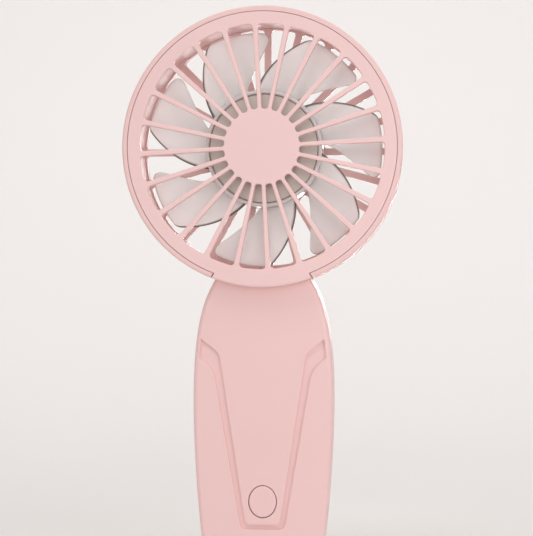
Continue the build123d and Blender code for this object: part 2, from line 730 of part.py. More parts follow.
with BuildPart() as motor_board_chips:
    board_face = Plane(origin=(0, board_rear, HEAD_Z), x_dir=(1, 0, 0), z_dir=(0, 1, 0))
    block(board_face, *DRIVER_CHIP, [DRIVER_CHIP_AT])
    block(board_face, *SENSOR, SENSORS_AT)
finish(motor_board_chips, "motor_board_chips")

with BuildPart() as motor_screws:
    with BuildSketch(head_plane(motor_screw_seat)):
        with motor_screw_places():
            Circle(MOTOR_SCREW_R)
    extrude(amount=MOTOR_SCREW_LENGTH)
    with BuildSketch(head_plane(motor_screw_seat + MOTOR_SCREW_HEAD)):
        with motor_screw_places():
            Circle(MOTOR_SCREW_HEAD_R)
    extrude(amount=MOTOR_SCREW_HEAD)
    with BuildSketch(head_plane(motor_screw_seat + MOTOR_SCREW_HEAD)):
        with motor_screw_places():
            Rectangle(MOTOR_SCREW_HEAD_R, MOTOR_SCREW_HEAD_R / 4)
            Rectangle(MOTOR_SCREW_HEAD_R / 4, MOTOR_SCREW_HEAD_R)
    extrude(amount=MOTOR_SCREW_HEAD / 2, mode=Mode.SUBTRACT)
finish(motor_screws, "motor_screws")

motor_lead_y = board_rear + LEAD_R + FACE_GAP
channel_y = rear_plate_front - LEAD_R - FACE_GAP
pcb_lead_y = pcb_rear + LEAD_R + FACE_GAP
motor_lead_depths = (
    motor_lead_y,
    motor_lead_y,
    channel_y,
    channel_y,
    channel_y - MOTOR_LEAD_STEP,
    pcb_lead_y,
)
motor_lead_heights = [HEAD_Z - drop for drop in MOTOR_LEAD_DROPS]
motor_lead_heights += [HEAD_BOTTOM - drop for drop in NECK_LEAD_DROPS]
motor_lead_route = list(zip(motor_lead_depths, motor_lead_heights))
motor_lead_route.append((pcb_lead_y, MOTOR_LEAD_END_Z))
for name, x in (
    ("motor_lead_positive", -LEAD_PITCH / 2),
    ("motor_lead_negative", LEAD_PITCH / 2),
):
    lead([(x, y, z) for y, z in motor_lead_route], name)

# ---------------------------------------------------------------- grip shells
head_hole_r = HEAD_R + FACE_GAP
half_gap = PARTING_GAP / 2
with BuildPart() as shell:
    add(grip_solid(0, FRONT_EDGE_ROUND, REAR_EDGE_ROUND))
    add(grip_solid(WALL, FRONT_EDGE_ROUND / 2, REAR_EDGE_ROUND - WALL), mode=Mode.SUBTRACT)
    bore(head_front, head_rear, head_hole_r)


def polygon_face(points, rounds):
    """A symmetrical closed outline whose lowest corners are rounded."""
    with BuildSketch() as face:
        with BuildLine():
            Polyline(*mirrored(points), close=True)
        make_face()
        for (x, z), radius in zip(points[-len(rounds):], rounds):
            corners = face.vertices().filter_by(
                lambda vertex: abs(abs(vertex.X) - x) < FACE_GAP and abs(vertex.Y - z) < FACE_GAP
            )
            fillet(corners, radius=radius)
    return face.sketch


with BuildPart() as handle_front:
    add(shell.part)
    split(bisect_by=front_plane(parting - half_gap), keep=Keep.TOP)
    with BuildSketch(front_plane(parting + LIP_LENGTH)) as lip:
        add(grip_outline(WALL - LIP_WALL))
        add(grip_outline(WALL), mode=Mode.SUBTRACT)
    extrude(amount=LIP_LENGTH + half_gap)
    bore(head_front, head_rear, head_hole_r)
    with BuildSketch(front_plane(grip_front + GROOVE_DEPTH)) as groove:
        add(polygon_face(GROOVE_FLANK, GROOVE_FLANK_ROUND))
        add(polygon_face(GROOVE_TONGUE, GROOVE_TONGUE_ROUND), mode=Mode.SUBTRACT)
        add(grip_outline(FRONT_EDGE_ROUND), mode=Mode.INTERSECT)
    extrude(amount=2 * GROOVE_DEPTH, mode=Mode.SUBTRACT)
    with BuildSketch(front_plane(inner_front)):
        with Locations((0, BUTTON_Z)):
            Ellipse(BUTTON_HALF_WIDTH + BUTTON_GAP, BUTTON_HALF_HEIGHT + BUTTON_GAP)
    extrude(amount=WALL, mode=Mode.SUBTRACT)
    block(
        front_plane(battery_front - 2 * FACE_GAP),
        *CLAMP_RIB,
        battery_front - 2 * FACE_GAP - inner_front,
        [place for pair in CLAMP_RIBS_AT for place in both_sides(*pair)],
    )
    boss_r = SCREW_R + SCREW_HOLE_GAP + BOSS_WALL
    pegs(front_plane(EAR_FRONT - FACE_GAP), boss_r, EAR_FRONT - FACE_GAP - inner_front,
         both_sides(*NECK_SCREWS))
    pegs(front_plane(parting - half_gap), boss_r, parting - half_gap - inner_front,
         both_sides(*BASE_SCREWS))
    for place in (NECK_SCREWS, BASE_SCREWS):
        pegs(front_plane(parting), SCREW_R + FACE_GAP, parting - inner_front, both_sides(*place),
             mode=Mode.SUBTRACT)
    for place in PCB_SCREWS:
        pegs(front_plane(pcb_front - FACE_GAP), PCB_SCREW_R + BOSS_WALL / 2 + FACE_GAP,
             pcb_front - FACE_GAP - inner_front, both_sides(*place))
        pegs(front_plane(pcb_front), PCB_SCREW_R + FACE_GAP, pcb_front - inner_front,
             both_sides(*place), mode=Mode.SUBTRACT)
    with BuildSketch(Plane.XY):
        with Locations((0, usb_middle)):
            RectangleRounded(
                USB_WIDTH + 2 * USB_SLOT_GAP,
                USB_HEIGHT + 2 * USB_SLOT_GAP,
                USB_HEIGHT / 2,
            )
    extrude(amount=WALL, mode=Mode.SUBTRACT)
finish(handle_front, "handle_front")

with BuildPart() as handle_rear:
    add(shell.part)
    split(bisect_by=front_plane(parting + half_gap), keep=Keep.BOTTOM)
    with BuildSketch(front_plane(parting + LIP_LENGTH + half_gap)):
        add(grip_outline(WALL - LIP_WALL - FACE_GAP))
    extrude(amount=LIP_LENGTH + half_gap, mode=Mode.SUBTRACT)
    tray_height = inner_rear - battery_middle
    end_rib_reach = END_RIB_GAP + END_RIB[1] / 2
    block(front_plane(inner_rear), *SIDE_RIB, tray_height,
          both_sides(BATTERY[0] / 2 + SIDE_RIB_GAP + SIDE_RIB[0] / 2, BATTERY_BOTTOM + BATTERY[2] / 2))
    block(front_plane(inner_rear), *END_RIB, tray_height,
          both_sides(END_RIB_X, BATTERY_BOTTOM + BATTERY[2] + end_rib_reach))
    block(front_plane(inner_rear), *END_RIB, tray_height,
          both_sides(END_RIB_X, BATTERY_BOTTOM - PROTECTION_BOARD[2] - end_rib_reach))
    rear_boss_r = SCREW_HEAD_R + HEAD_HOLE_GAP + BOSS_WALL
    pegs(front_plane(inner_rear), rear_boss_r, inner_rear - EAR_REAR - FACE_GAP,
         both_sides(*NECK_SCREWS))
    pegs(front_plane(inner_rear), boss_r, inner_rear - parting - half_gap, both_sides(*BASE_SCREWS))
    pegs(front_plane(inner_rear), rear_boss_r, inner_rear - screw_seat + WALL,
         both_sides(*BASE_SCREWS))
    for place in (NECK_SCREWS, BASE_SCREWS):
        pegs(front_plane(grip_rear), SCREW_HEAD_R + HEAD_HOLE_GAP, grip_rear - screw_seat,
             both_sides(*place), mode=Mode.SUBTRACT)
        pegs(front_plane(grip_rear), SCREW_R + SCREW_HOLE_GAP, grip_rear - parting,
             both_sides(*place), mode=Mode.SUBTRACT)
    bore(head_front, head_rear, head_hole_r)
finish(handle_rear, "handle_rear")

with BuildPart() as handle_screws:
    screw_places = both_sides(*NECK_SCREWS) + both_sides(*BASE_SCREWS)
    pegs(front_plane(screw_seat), SCREW_R, SCREW_LENGTH, screw_places)
    pegs(front_plane(screw_seat + SCREW_HEAD), SCREW_HEAD_R, SCREW_HEAD, screw_places)
    head_rims = handle_screws.edges().filter_by(GeomType.CIRCLE).group_by(Axis.Y)[-1]
    fillet(head_rims, radius=SCREW_HEAD / 4)
    for arm in ((SCREW_HEAD_R, SCREW_HEAD_R / 4), (SCREW_HEAD_R / 4, SCREW_HEAD_R)):
        block(front_plane(screw_seat + SCREW_HEAD), *arm, SCREW_HEAD / 2, screw_places,
              mode=Mode.SUBTRACT)
finish(handle_screws, "handle_screws")

# ---------------------------------------------------------------- power button and switch
with BuildPart() as power_button:
    with BuildSketch(front_plane(flange_seat)):
        with Locations((0, BUTTON_Z)):
            Ellipse(BUTTON_HALF_WIDTH, BUTTON_HALF_HEIGHT)
    extrude(amount=flange_seat - grip_front)
    crown = power_button.faces().sort_by(Axis.Y)[0].edges()
    fillet(crown, radius=BUTTON_CROWN_ROUND)
    with BuildSketch(front_plane(flange_seat + BUTTON_FLANGE_THICKNESS)):
        with Locations((0, BUTTON_Z)):
            Ellipse(BUTTON_HALF_WIDTH + BUTTON_FLANGE, BUTTON_HALF_HEIGHT + BUTTON_FLANGE)
    extrude(amount=BUTTON_FLANGE_THICKNESS)
    pegs(front_plane(stem_front - FACE_GAP / 5), STEM_R,
         stem_front - FACE_GAP / 5 - flange_seat, [(0, BUTTON_Z)])
finish(power_button, "power_button")

with BuildPart() as switch_stem:
    pegs(front_plane(stem_front + STEM_LENGTH), STEM_R, STEM_LENGTH, [(0, BUTTON_Z)])
finish(switch_stem, "switch_stem")

with BuildPart() as switch_body:
    block(front_plane(pcb_front), SWITCH_SIZE, SWITCH_SIZE, SWITCH_HEIGHT, [(0, BUTTON_Z)])
    fillet(switch_body.edges().filter_by(Axis.Y), radius=SWITCH_HEIGHT / 5)
    pegs(front_plane(stem_front + STEM_LENGTH + BUTTON_TRAVEL + FACE_GAP * 2), STEM_R + STEM_GAP,
         SWITCH_HEIGHT, [(0, BUTTON_Z)], mode=Mode.SUBTRACT)
finish(switch_body, "switch_body")

# ---------------------------------------------------------------- control board and charging socket
pcb_middle = (PCB_BOTTOM + PCB_TOP) / 2
with BuildPart() as control_board:
    block(front_plane(pcb_rear), 2 * PCB_HALF_WIDTH, PCB_TOP - PCB_BOTTOM, PCB_THICKNESS,
          [(0, pcb_middle)])
    fillet(control_board.edges().filter_by(Axis.Y), radius=PCB_THICKNESS)
    for place in PCB_SCREWS:
        pegs(front_plane(pcb_rear), PCB_SCREW_R + SCREW_HOLE_GAP, PCB_THICKNESS,
             both_sides(*place), mode=Mode.SUBTRACT)
finish(control_board, "control_board")

with BuildPart() as board_chips:
    for (width, height, thickness), places in (
        (CONTROLLER, [CONTROLLER_AT]),
        (INDUCTOR, [INDUCTOR_AT]),
        (RESISTOR, RESISTORS_AT),
    ):
        block(front_plane(pcb_rear), width, height, -thickness, places)
finish(board_chips, "board_chips")

with BuildPart() as board_screws:
    pcb_places = [place for pair in PCB_SCREWS for place in both_sides(*pair)]
    pegs(front_plane(pcb_rear + FACE_GAP), PCB_SCREW_R, PCB_SCREW_LENGTH, pcb_places)
    pegs(front_plane(pcb_rear + FACE_GAP + PCB_SCREW_HEAD), PCB_SCREW_HEAD_R, PCB_SCREW_HEAD,
         pcb_places)
finish(board_screws, "board_screws")

with BuildPart() as usb_shell:
    with BuildSketch(Plane.XY.offset(USB_SETBACK)):
        with Locations((0, usb_middle + FACE_GAP)):
            RectangleRounded(USB_WIDTH, USB_HEIGHT, USB_HEIGHT / 2 - USB_WALL)
            RectangleRounded(USB_WIDTH - 2 * USB_WALL, USB_HEIGHT - 2 * USB_WALL,
                             USB_HEIGHT / 2 - 2 * USB_WALL, mode=Mode.SUBTRACT)
    extrude(amount=USB_LENGTH)
finish(usb_shell, "usb_shell")

with BuildPart() as usb_tongue:
    tongue_width, tongue_thickness, tongue_length = USB_TONGUE
    insulator = USB_LENGTH - tongue_length
    with BuildSketch(Plane.XY.offset(USB_SETBACK + tongue_length)):
        with Locations((0, usb_middle + FACE_GAP)):
            RectangleRounded(USB_WIDTH - 2 * USB_WALL - FACE_GAP, USB_HEIGHT - 2 * USB_WALL - FACE_GAP,
                             USB_HEIGHT / 2 - 2 * USB_WALL)
    extrude(amount=insulator)
    with BuildSketch(Plane.XY.offset(USB_SETBACK + USB_WALL)):
        with Locations((0, usb_middle + FACE_GAP)):
            Rectangle(tongue_width, tongue_thickness)
    extrude(amount=tongue_length)
finish(usb_tongue, "usb_tongue")

# ---------------------------------------------------------------- battery
battery_width, battery_depth, battery_height = BATTERY
with BuildPart() as battery_cell:
    block(front_plane(battery_rear), battery_width, battery_height, battery_depth,
          [(0, BATTERY_BOTTOM + battery_height / 2)])
    fillet(battery_cell.edges().filter_by(Axis.Z), radius=BATTERY_ROUND)
finish(battery_cell, "battery_cell")

with BuildPart() as protection_board:
    strip_width, strip_depth, strip_height = PROTECTION_BOARD
    with BuildSketch(Plane.XY.offset(BATTERY_BOTTOM - strip_height - FACE_GAP)):
        with Locations((0, battery_middle)):
            Rectangle(strip_width, strip_depth)
    extrude(amount=strip_height)
finish(protection_board, "protection_board")

with BuildPart() as battery_pad:
    pad_width, pad_height = PAD
    block(front_plane(inner_rear - FACE_GAP), pad_width, pad_height, PAD_THICKNESS,
          [(0, BATTERY_BOTTOM + battery_height / 2)])
finish(battery_pad, "battery_pad")

for name, x in (
    ("battery_lead_positive", BATTERY_LEADS_X),
    ("battery_lead_negative", BATTERY_LEADS_X + LEAD_PITCH),
):
    lead_top = BATTERY_BOTTOM - strip_height - 2 * FACE_GAP
    lead(
        [
            (x, battery_middle, lead_top),
            (x, battery_middle, lead_top - BATTERY_LEAD_DROP),
            (x, pcb_rear + FACE_GAP, lead_top - BATTERY_LEAD_DROP),
        ],
        name,
    )
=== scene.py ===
"""Handheld electric fan: its looks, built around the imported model.

Metres. +Z is up and the fan blows towards -Y. The fan's axis runs along Y.
"""

from math import cos, pi, radians, sin, sqrt, tan

import bmesh
import bpy
from bpy.props import FloatProperty, FloatVectorProperty, IntProperty, PointerProperty
from mathutils import Matrix, Vector
from mathutils.geometry import delaunay_2d_cdt


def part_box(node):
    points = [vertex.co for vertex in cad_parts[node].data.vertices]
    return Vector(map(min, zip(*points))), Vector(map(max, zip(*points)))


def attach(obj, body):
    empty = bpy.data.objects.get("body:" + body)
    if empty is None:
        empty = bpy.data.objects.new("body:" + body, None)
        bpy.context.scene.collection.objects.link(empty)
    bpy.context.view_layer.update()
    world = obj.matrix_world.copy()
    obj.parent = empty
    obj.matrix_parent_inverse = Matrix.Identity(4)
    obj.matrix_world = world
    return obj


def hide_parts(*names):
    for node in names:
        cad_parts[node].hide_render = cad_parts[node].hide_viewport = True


bl_info = {
    "name": "Handheld Fan",
    "version": (1, 0, 0),
    "blender": (4, 5, 0),
    "location": "View3D > Sidebar > Fan",
    "description": "Builds the visible pieces of a handheld electric fan around its packed model",
    "category": "Object",
}

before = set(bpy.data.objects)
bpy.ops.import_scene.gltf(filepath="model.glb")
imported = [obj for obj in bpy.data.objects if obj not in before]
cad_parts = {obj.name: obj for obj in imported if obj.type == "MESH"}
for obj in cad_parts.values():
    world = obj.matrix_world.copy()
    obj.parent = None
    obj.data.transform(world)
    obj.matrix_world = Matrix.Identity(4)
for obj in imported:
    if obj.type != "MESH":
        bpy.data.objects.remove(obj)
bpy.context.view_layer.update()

MM = 0.001
SAME = 1e-6  # points nearer than this are one point
SHARP = 35  # an edge that turns by more degrees than this stays sharp
HEAD_LOW, HEAD_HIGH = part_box("head_housing")
COVER_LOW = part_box("front_grille")[0]
HUB_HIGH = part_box("impeller")[1]
HEAD_RADIUS = (HEAD_HIGH.x - HEAD_LOW.x) / 2
AXIS_HEIGHT = HEAD_HIGH.z - HEAD_RADIUS


def linear(*display):
    """A colour given by its display values, 0 to 255, as linear values."""
    return [(v / 255 / 12.92) if v < 11 else ((v / 255 + 0.055) / 1.055) ** 2.4 for v in display]


def length(name, description, default):
    """A size that the user may change, in metres."""
    return FloatProperty(name=name, description=description, default=default, min=0,
                         unit="LENGTH", precision=5)


def angle(name, description, degrees):
    """An angle that the user may change."""
    return FloatProperty(name=name, description=description, default=radians(degrees),
                         subtype="ANGLE")


def colour(name, description, *display):
    """A colour that the user may change."""
    return FloatVectorProperty(name=name, description=description, subtype="COLOR", size=3,
                               min=0, max=1, default=linear(*display))


# ---------------------------------------------------------------- what a user may change
class FanHeadSizes(bpy.types.PropertyGroup):
    """Sizes of the round head and its front cover."""

    axis_height: length("Axis Height", "Height of the fan's axis above the base", AXIS_HEIGHT)
    radius: length("Radius", "Outer radius of the head", HEAD_RADIUS)
    cover_radius: length("Cover Radius", "Radius of the front cover inside the rim", 43.2 * MM)
    cover_depth: length("Cover Depth", "Thickness of the front cover", 2.4 * MM)
    spokes: IntProperty(name="Spokes", description="Spokes of the front cover", default=24, min=6)
    turn: angle("Turn", "Place of the first spoke, up from the side", 3.0)
    disc_radius: length("Disc Radius", "Where the slots start", 12.1 * MM)
    slot_radius: length("Slot Radius", "Where the slots end", 39.2 * MM)
    spoke_root: length("Spoke Root", "Width of a spoke at the middle disc", 1.2 * MM)
    spoke_tip: length("Spoke Tip", "Width of a spoke at the rim", 1.7 * MM)
    root_round: length("Root Round", "Corner round at a slot's inner end", 0.85 * MM)
    tip_round: length("Tip Round", "Corner round at a slot's outer end", 1.1 * MM)
    edge_round: length("Edge Round", "Round along the edges of the slots", 0.35 * MM)
    rim_round: length("Rim Round", "Round along the outer edge of the head", 0.8 * MM)
    tab_half: angle("Tab Half Angle", "Half of the thumb tab, seen from the axis", 20.6)
    tab_splay: angle("Tab Splay", "How far the tab's ends lean outwards", 14.5)
    hook_depth: length("Hook Depth", "How far the snap hooks reach behind the cover", 3.6 * MM)


class FanImpellerSizes(bpy.types.PropertyGroup):
    """Sizes of the impeller."""

    blades: IntProperty(name="Blades", description="Blades of the impeller", default=7, min=2)
    hub_radius: length("Hub Radius", "Outer radius of the hub's wall", 19.0 * MM)
    hub_wall: length("Hub Wall", "Thickness of the hub's wall", 1.2 * MM)
    tip_radius: length("Tip Radius", "Radius of the blades' tips", HUB_HIGH.z - AXIS_HEIGHT)
    thickness: length("Thickness", "Thickness of a blade", 1.2 * MM)
    lead_angle: angle("Leading Angle", "Where the first blade's leading edge leaves the hub", 59.2)
    trail_angle: angle("Trailing Angle", "Where its trailing edge leaves the hub", 97.8)
    rise_root: length("Root Rise", "How far a blade climbs at the hub", 9.5 * MM)
    rise_tip: length("Tip Rise", "How far a blade climbs at its tip", 7.0 * MM)
    camber: FloatProperty(name="Camber", description="Bow of a blade, as a share of its width",
                          default=0.07, min=0, max=0.3)
    lead_round: length("Leading Round", "Round of a blade's leading corner", 3.6 * MM)
    trail_round: length("Trailing Round", "Round of a blade's trailing corner", 1.2 * MM)


class FanColours(bpy.types.PropertyGroup):
    """Colours of the fan's pieces."""

    shell: colour("Shell", "Pink of the head and the grip", 243, 205, 203)
    cover: colour("Cover", "Pink of the two grilles", 245, 209, 207)
    impeller: colour("Impeller", "White of the impeller", 247, 251, 249)
    # painted shade: stands for the blades' thin edge faces in shadow
    edge_line: colour("Edge Line", "Shade along the blades' edges", 95, 82, 78)
    rotor: colour("Rotor", "Steel of the rotor cup", 200, 191, 184)
    wire_red: colour("Red Wire", "Insulation of the positive leads", 176, 32, 28)
    wire_black: colour("Black Wire", "Insulation of the negative leads", 24, 24, 26)
    board: colour("Board", "Solder mask of the circuit boards", 30, 92, 58)
    wrap: colour("Battery Wrap", "Film round the battery cell", 168, 176, 184)


class FanStage(bpy.types.PropertyGroup):
    """The floor, the lights and the camera."""

    view_side: angle("View Side", "Camera's turn towards the fan's left-hand side", 4.8)
    distance: length("Distance", "From the camera to the front of the head", 498.4 * MM)
    height: length("Height", "Height of the camera above the floor", 104.2 * MM)
    aside: length("Aside", "How far the camera aims beside the axis", 1.65 * MM)
    floor: colour("Floor", "Colour of the floor and the backdrop", 246, 243, 241)


GROUPS = {
    "fan_head": FanHeadSizes,
    "fan_impeller": FanImpellerSizes,
    "fan_colours": FanColours,
    "fan_stage": FanStage,
}


# ---------------------------------------------------------------- outlines, in the head's plane
def polar(radius, turn):
    """A point of the plane across the fan's axis, measured from the axis."""
    return Vector((radius * cos(turn), radius * sin(turn)))


def arc(radius, start, end, steps):
    """Points along an arc about the fan's axis, both ends included."""
    return [polar(radius, start + (end - start) * i / steps) for i in range(steps + 1)]


def circle(radius, steps, start=0.0):
    """Points round a whole circle about the fan's axis."""
    return [polar(radius, start + 2 * pi * i / steps) for i in range(steps)]


def rounded_box(half_width, low, high, radius):
    """A rectangle with rounded corners, as a closed outline."""
    corners = ((-half_width, low), (half_width, low), (half_width, high), (-half_width, high))
    return rounded([Vector(corner) for corner in corners], [radius] * 4, 2)


def rounded(points, rounds, steps=6):
    """A closed outline whose corners are rounded by the given radii."""
    outline = []
    for i, (corner, radius) in enumerate(zip(points, rounds)):
        if not radius:
            outline.append(corner)
            continue
        before = (points[i - 1] - corner).normalized()
        after = (points[(i + 1) % len(points)] - corner).normalized()
        half = before.angle(after) / 2
        centre = corner + (before + after).normalized() * radius / sin(half)
        start = corner + before * radius / tan(half) - centre
        end = corner + after * radius / tan(half) - centre
        for step in range(steps + 1):
            outline.append(centre + start.slerp(end, step / steps).normalized() * radius)
    return outline


def moved_out(outline, distances):
    """A closed, anticlockwise outline with each point moved outwards by its distance."""
    moved = []
    for i, point in enumerate(outline):
        before = (point - outline[i - 1]).normalized()
        after = (outline[(i + 1) % len(outline)] - point).normalized()
        side = Vector((before.y + after.y, -before.x - after.x)).normalized()
        stretch = 1 / max(0.5, side.dot(Vector((before.y, -before.x))))
        moved.append(point + side * distances[i] * stretch)
    return moved


# ---------------------------------------------------------------- meshes
def deep(points, depth):
    """Outline points placed at a depth along the fan's axis."""
    return [Vector((p.x, depth, p.y)) for p in points]


def inside(point, outline):
    """Whether a point lies within a closed outline."""
    within = False
    for a, b in zip(outline, outline[1:] + outline[:1]):
        if (a.y > point.y) != (b.y > point.y):
            if point.x < a.x + (b.x - a.x) * (point.y - a.y) / (b.y - a.y):
                within = not within
    return within


def fill(mesh, outer, holes, depth, to_front):
    """Fill the area between an outline and its holes with flat faces."""
    loops = [outer] + holes
    points = [p for loop in loops for p in loop]
    edges, first = [], 0
    for loop in loops:
        edges += [(first + i, first + (i + 1) % len(loop)) for i in range(len(loop))]
        first += len(loop)
    found, _, faces, *_ = delaunay_2d_cdt(points, edges, [], 1, SAME / 10)
    corners = [mesh.verts.new((p.x, depth, p.y)) for p in found]
    for face in faces:
        middle = sum((found[i] for i in face), Vector((0, 0))) / len(face)
        if not any(inside(middle, hole) for hole in holes):
            mesh.faces.new([corners[i] for i in (face if to_front else reversed(face))])


def skin(mesh, rows, closed=True):
    """Join rows of as many points each with quads."""
    made = [[mesh.verts.new(point) for point in row] for row in rows]
    count = len(rows[0])
    for low, high in zip(made, made[1:]):
        for i in range(count if closed else count - 1):
            j = (i + 1) % count
            mesh.faces.new((low[i], low[j], high[j], high[i]))


def rounded_edge(outline, rounds, side, front, rear, steps=4):
    """Rows from a rounded front edge along a wall to its rear; side is 1 round a hole."""
    rows = []
    for step in range(steps + 1):
        turn = pi / 2 * step / steps
        out = moved_out(outline, [side * r * (1 - sin(turn)) for r in rounds])
        rows.append([Vector((p.x, front + r * (1 - cos(turn)), p.y)) for p, r in zip(out, rounds)])
    rows.append(deep(outline, rear))
    return rows


def mark_sharp(mesh, sharp):
    """Mark the edges where a mesh turns by more than an angle."""
    for edge in mesh.edges:
        edge.smooth = not edge.is_manifold or edge.calc_face_angle() < radians(sharp)


def written(mesh, name):
    """Write a mesh that is being built out as mesh data."""
    data = bpy.data.meshes.new(name)
    mesh.to_mesh(data)
    mesh.free()
    return data


def finished(mesh, name, sharp=SHARP):
    """Close a mesh's seams, turn its faces outwards and mark its sharp edges."""
    bmesh.ops.remove_doubles(mesh, verts=mesh.verts, dist=2 * SAME)
    bmesh.ops.dissolve_degenerate(mesh, edges=mesh.edges, dist=SAME)
    bmesh.ops.recalc_face_normals(mesh, faces=mesh.faces)
    return smoothed(mesh, name, sharp)


def smoothed(mesh, name, sharp):
    """Write a mesh out with smooth faces and sharp edges where it turns by more than an angle."""
    for face in mesh.faces:
        face.smooth = True
    mark_sharp(mesh, sharp)
    return written(mesh, name)


def add_object(data, name):
    """Put a mesh in the scene, at the origin."""
    piece = bpy.data.objects.new(name, data)
    bpy.context.scene.collection.objects.link(piece)
    return piece


def settle(piece):
    """Turn what a piece's modifiers give into its plain mesh."""
    graph = bpy.context.evaluated_depsgraph_get()
    plain = bpy.data.meshes.new_from_object(piece.evaluated_get(graph))
    piece.modifiers.clear()
    spare, piece.data = piece.data, plain
    plain.name = piece.name
    bpy.data.meshes.remove(spare)
    return piece


def even_shading(piece):
    """Let the large faces of a piece rule its shading, so that flats stay flat beside rounds."""
    weighting = piece.modifiers.new("shading", "WEIGHTED_NORMAL")
    weighting.keep_sharp = True
    return settle(piece)


def smooth_copy(node, name, sharp=30):
    """A merged copy of a CAD node's mesh with smooth rounds and sharp edges."""
    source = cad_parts[node].data.copy()
    if "custom_normal" in source.attributes:
        source.attributes.remove(source.attributes["custom_normal"])
    mesh = bmesh.new()
    mesh.from_mesh(source)
    bpy.data.meshes.remove(source)
    bmesh.ops.remove_doubles(mesh, verts=mesh.verts, dist=SAME)
    return even_shading(add_object(smoothed(mesh, name, sharp), name))


def dress(piece, material, body, slot, *nodes):
    """Give a piece its material, its body and the nodes that it stands for; the slot is not used.
    """
    piece.data.materials.clear()
    piece.data.materials.append(material)
    piece.data.polygons.foreach_set("material_index", [0] * len(piece.data.polygons))
    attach(piece, body)
    if nodes:
        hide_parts(*nodes)
    return piece


# ---------------------------------------------------------------- repeated pieces
def node(tree, kind, inputs=None, **settings):
    """Add a node, with its inputs given as values or as sockets to link from."""
    made = tree.nodes.new(kind)
    for key, value in settings.items():
        setattr(made, key, value)
    for key, value in (inputs or {}).items():
        if isinstance(value, bpy.types.NodeSocket):
            tree.links.new(value, made.inputs[key])
        else:
            made.inputs[key].default_value = value
    return made


def built_once(build):
    """Let a function that builds a node group hand back the group that it built before."""
    return lambda: bpy.data.node_groups.get(build.__name__) or build(build.__name__)


def new_group(name, kind, inputs, outputs):
    """A node group and what it is given; a socket has a type, or a number where it is a float."""
    group = bpy.data.node_groups.new(name, kind)
    for side, sockets in (("INPUT", inputs), ("OUTPUT", outputs)):
        for label, value in sockets.items():
            number = isinstance(value, float)
            socket = group.interface.new_socket(
                label, in_out=side, socket_type="NodeSocket" + ("Float" if number else value))
            if number:
                socket.default_value = value
    return group, group.nodes.new("NodeGroupInput").outputs


@built_once
def repeat_in_a_ring(name):
    """Geometry nodes that repeat a piece in a row, in a ring about the fan's axis, or both."""
    tree, given = new_group(name, "GeometryNodeTree", {
        "Piece": "Geometry", "Count": "Int", "Step": "Vector", "First Turn": "Float",
        "Turn": "Float", "Place": "Vector", "Weld": "Float", "Material": "Material",
    }, {"Pieces": "Geometry"})
    line = node(tree, "GeometryNodeMeshLine", {"Count": given["Count"], "Offset": given["Step"]})
    index = tree.nodes.new("GeometryNodeInputIndex")
    turn = node(tree, "ShaderNodeMath", {0: index.outputs[0], 1: given["Turn"],
                                         2: given["First Turn"]}, operation="MULTIPLY_ADD")
    spin = node(tree, "FunctionNodeAxisAngleToRotation",
                {"Axis": (0, -1, 0), "Angle": turn.outputs[0]})
    ring = node(tree, "GeometryNodeInstanceOnPoints",
                {"Points": line.outputs[0], "Instance": given["Piece"],
                 "Rotation": spin.outputs[0]})
    placed = node(tree, "GeometryNodeTransform",
                  {"Geometry": ring.outputs[0], "Translation": given["Place"]})
    real = node(tree, "GeometryNodeRealizeInstances", {"Geometry": placed.outputs[0]})
    weld = node(tree, "GeometryNodeMergeByDistance",
                {"Geometry": real.outputs[0], "Distance": given["Weld"]})
    coated = node(tree, "GeometryNodeSetMaterial",
                  {"Geometry": weld.outputs[0], "Material": given["Material"]})
    node(tree, "NodeGroupOutput", {"Pieces": coated.outputs[0]})
    return tree


@built_once
def stand_on_places(name):
    """Geometry nodes that stand one piece on each of a few given places."""
    tree, given = new_group(name, "GeometryNodeTree", {
        "Places": "Geometry", "Piece": "Object", "Turn": "Float", "Seed": "Int",
        "Material": "Material",
    }, {"Pieces": "Geometry"})
    piece = node(tree, "GeometryNodeObjectInfo", {"Object": given["Piece"]})
    turn = node(tree, "FunctionNodeRandomValue", {"Seed": given["Seed"], 2: 0.0,
                                                  3: given["Turn"]})
    spin = node(tree, "FunctionNodeAxisAngleToRotation",
                {"Axis": (0, 1, 0), "Angle": turn.outputs[1]})
    stood = node(tree, "GeometryNodeInstanceOnPoints",
                 {"Points": given["Places"], "Instance": piece.outputs["Geometry"],
                  "Rotation": spin.outputs[0]})
    real = node(tree, "GeometryNodeRealizeInstances", {"Geometry": stood.outputs[0]})
    coated = node(tree, "GeometryNodeSetMaterial",
                  {"Geometry": real.outputs[0], "Material": given["Material"]})
    node(tree, "NodeGroupOutput", {"Pieces": coated.outputs[0]})
    return tree


def grown(piece, tree, inputs):
    """Run a geometry nodes tree on a piece, and keep its result as the piece's plain mesh."""
    modifier = piece.modifiers.new(tree.name, "NODES")
    modifier.node_group = tree
    for socket in tree.interface.items_tree:
        if socket.in_out == "INPUT" and socket.name in inputs:
            modifier[socket.identifier] = inputs[socket.name]
    return settle(piece)


def ringed(data, name, count, material, first=0.0, turn=None, place=None, step=(0, 0, 0),
           weld=2 * SAME):
    """Repeat a mesh round the fan's axis, or in a row."""
    centre = (0, 0, bpy.context.scene.fan_head.axis_height)
    return grown(add_object(data, name), repeat_in_a_ring(), {
        "Count": count, "Step": step, "First Turn": first,
        "Turn": 2 * pi / count if turn is None else turn,
        "Place": centre if place is None else place, "Weld": weld, "Material": material,
    })


def stood(data, name, places, material, turn=pi, seed=1):
    """Stand a mesh on each place, each copy turned its own way about the depth axis."""
    original = add_object(data, name + "_one")
    points = bpy.data.meshes.new(name)
    points.from_pydata([tuple(place) for place in places], [], [])
    piece = grown(add_object(points, name), stand_on_places(), {
        "Piece": original, "Turn": turn, "Seed": seed, "Material": material,
    })
    bpy.data.objects.remove(original)
    return piece


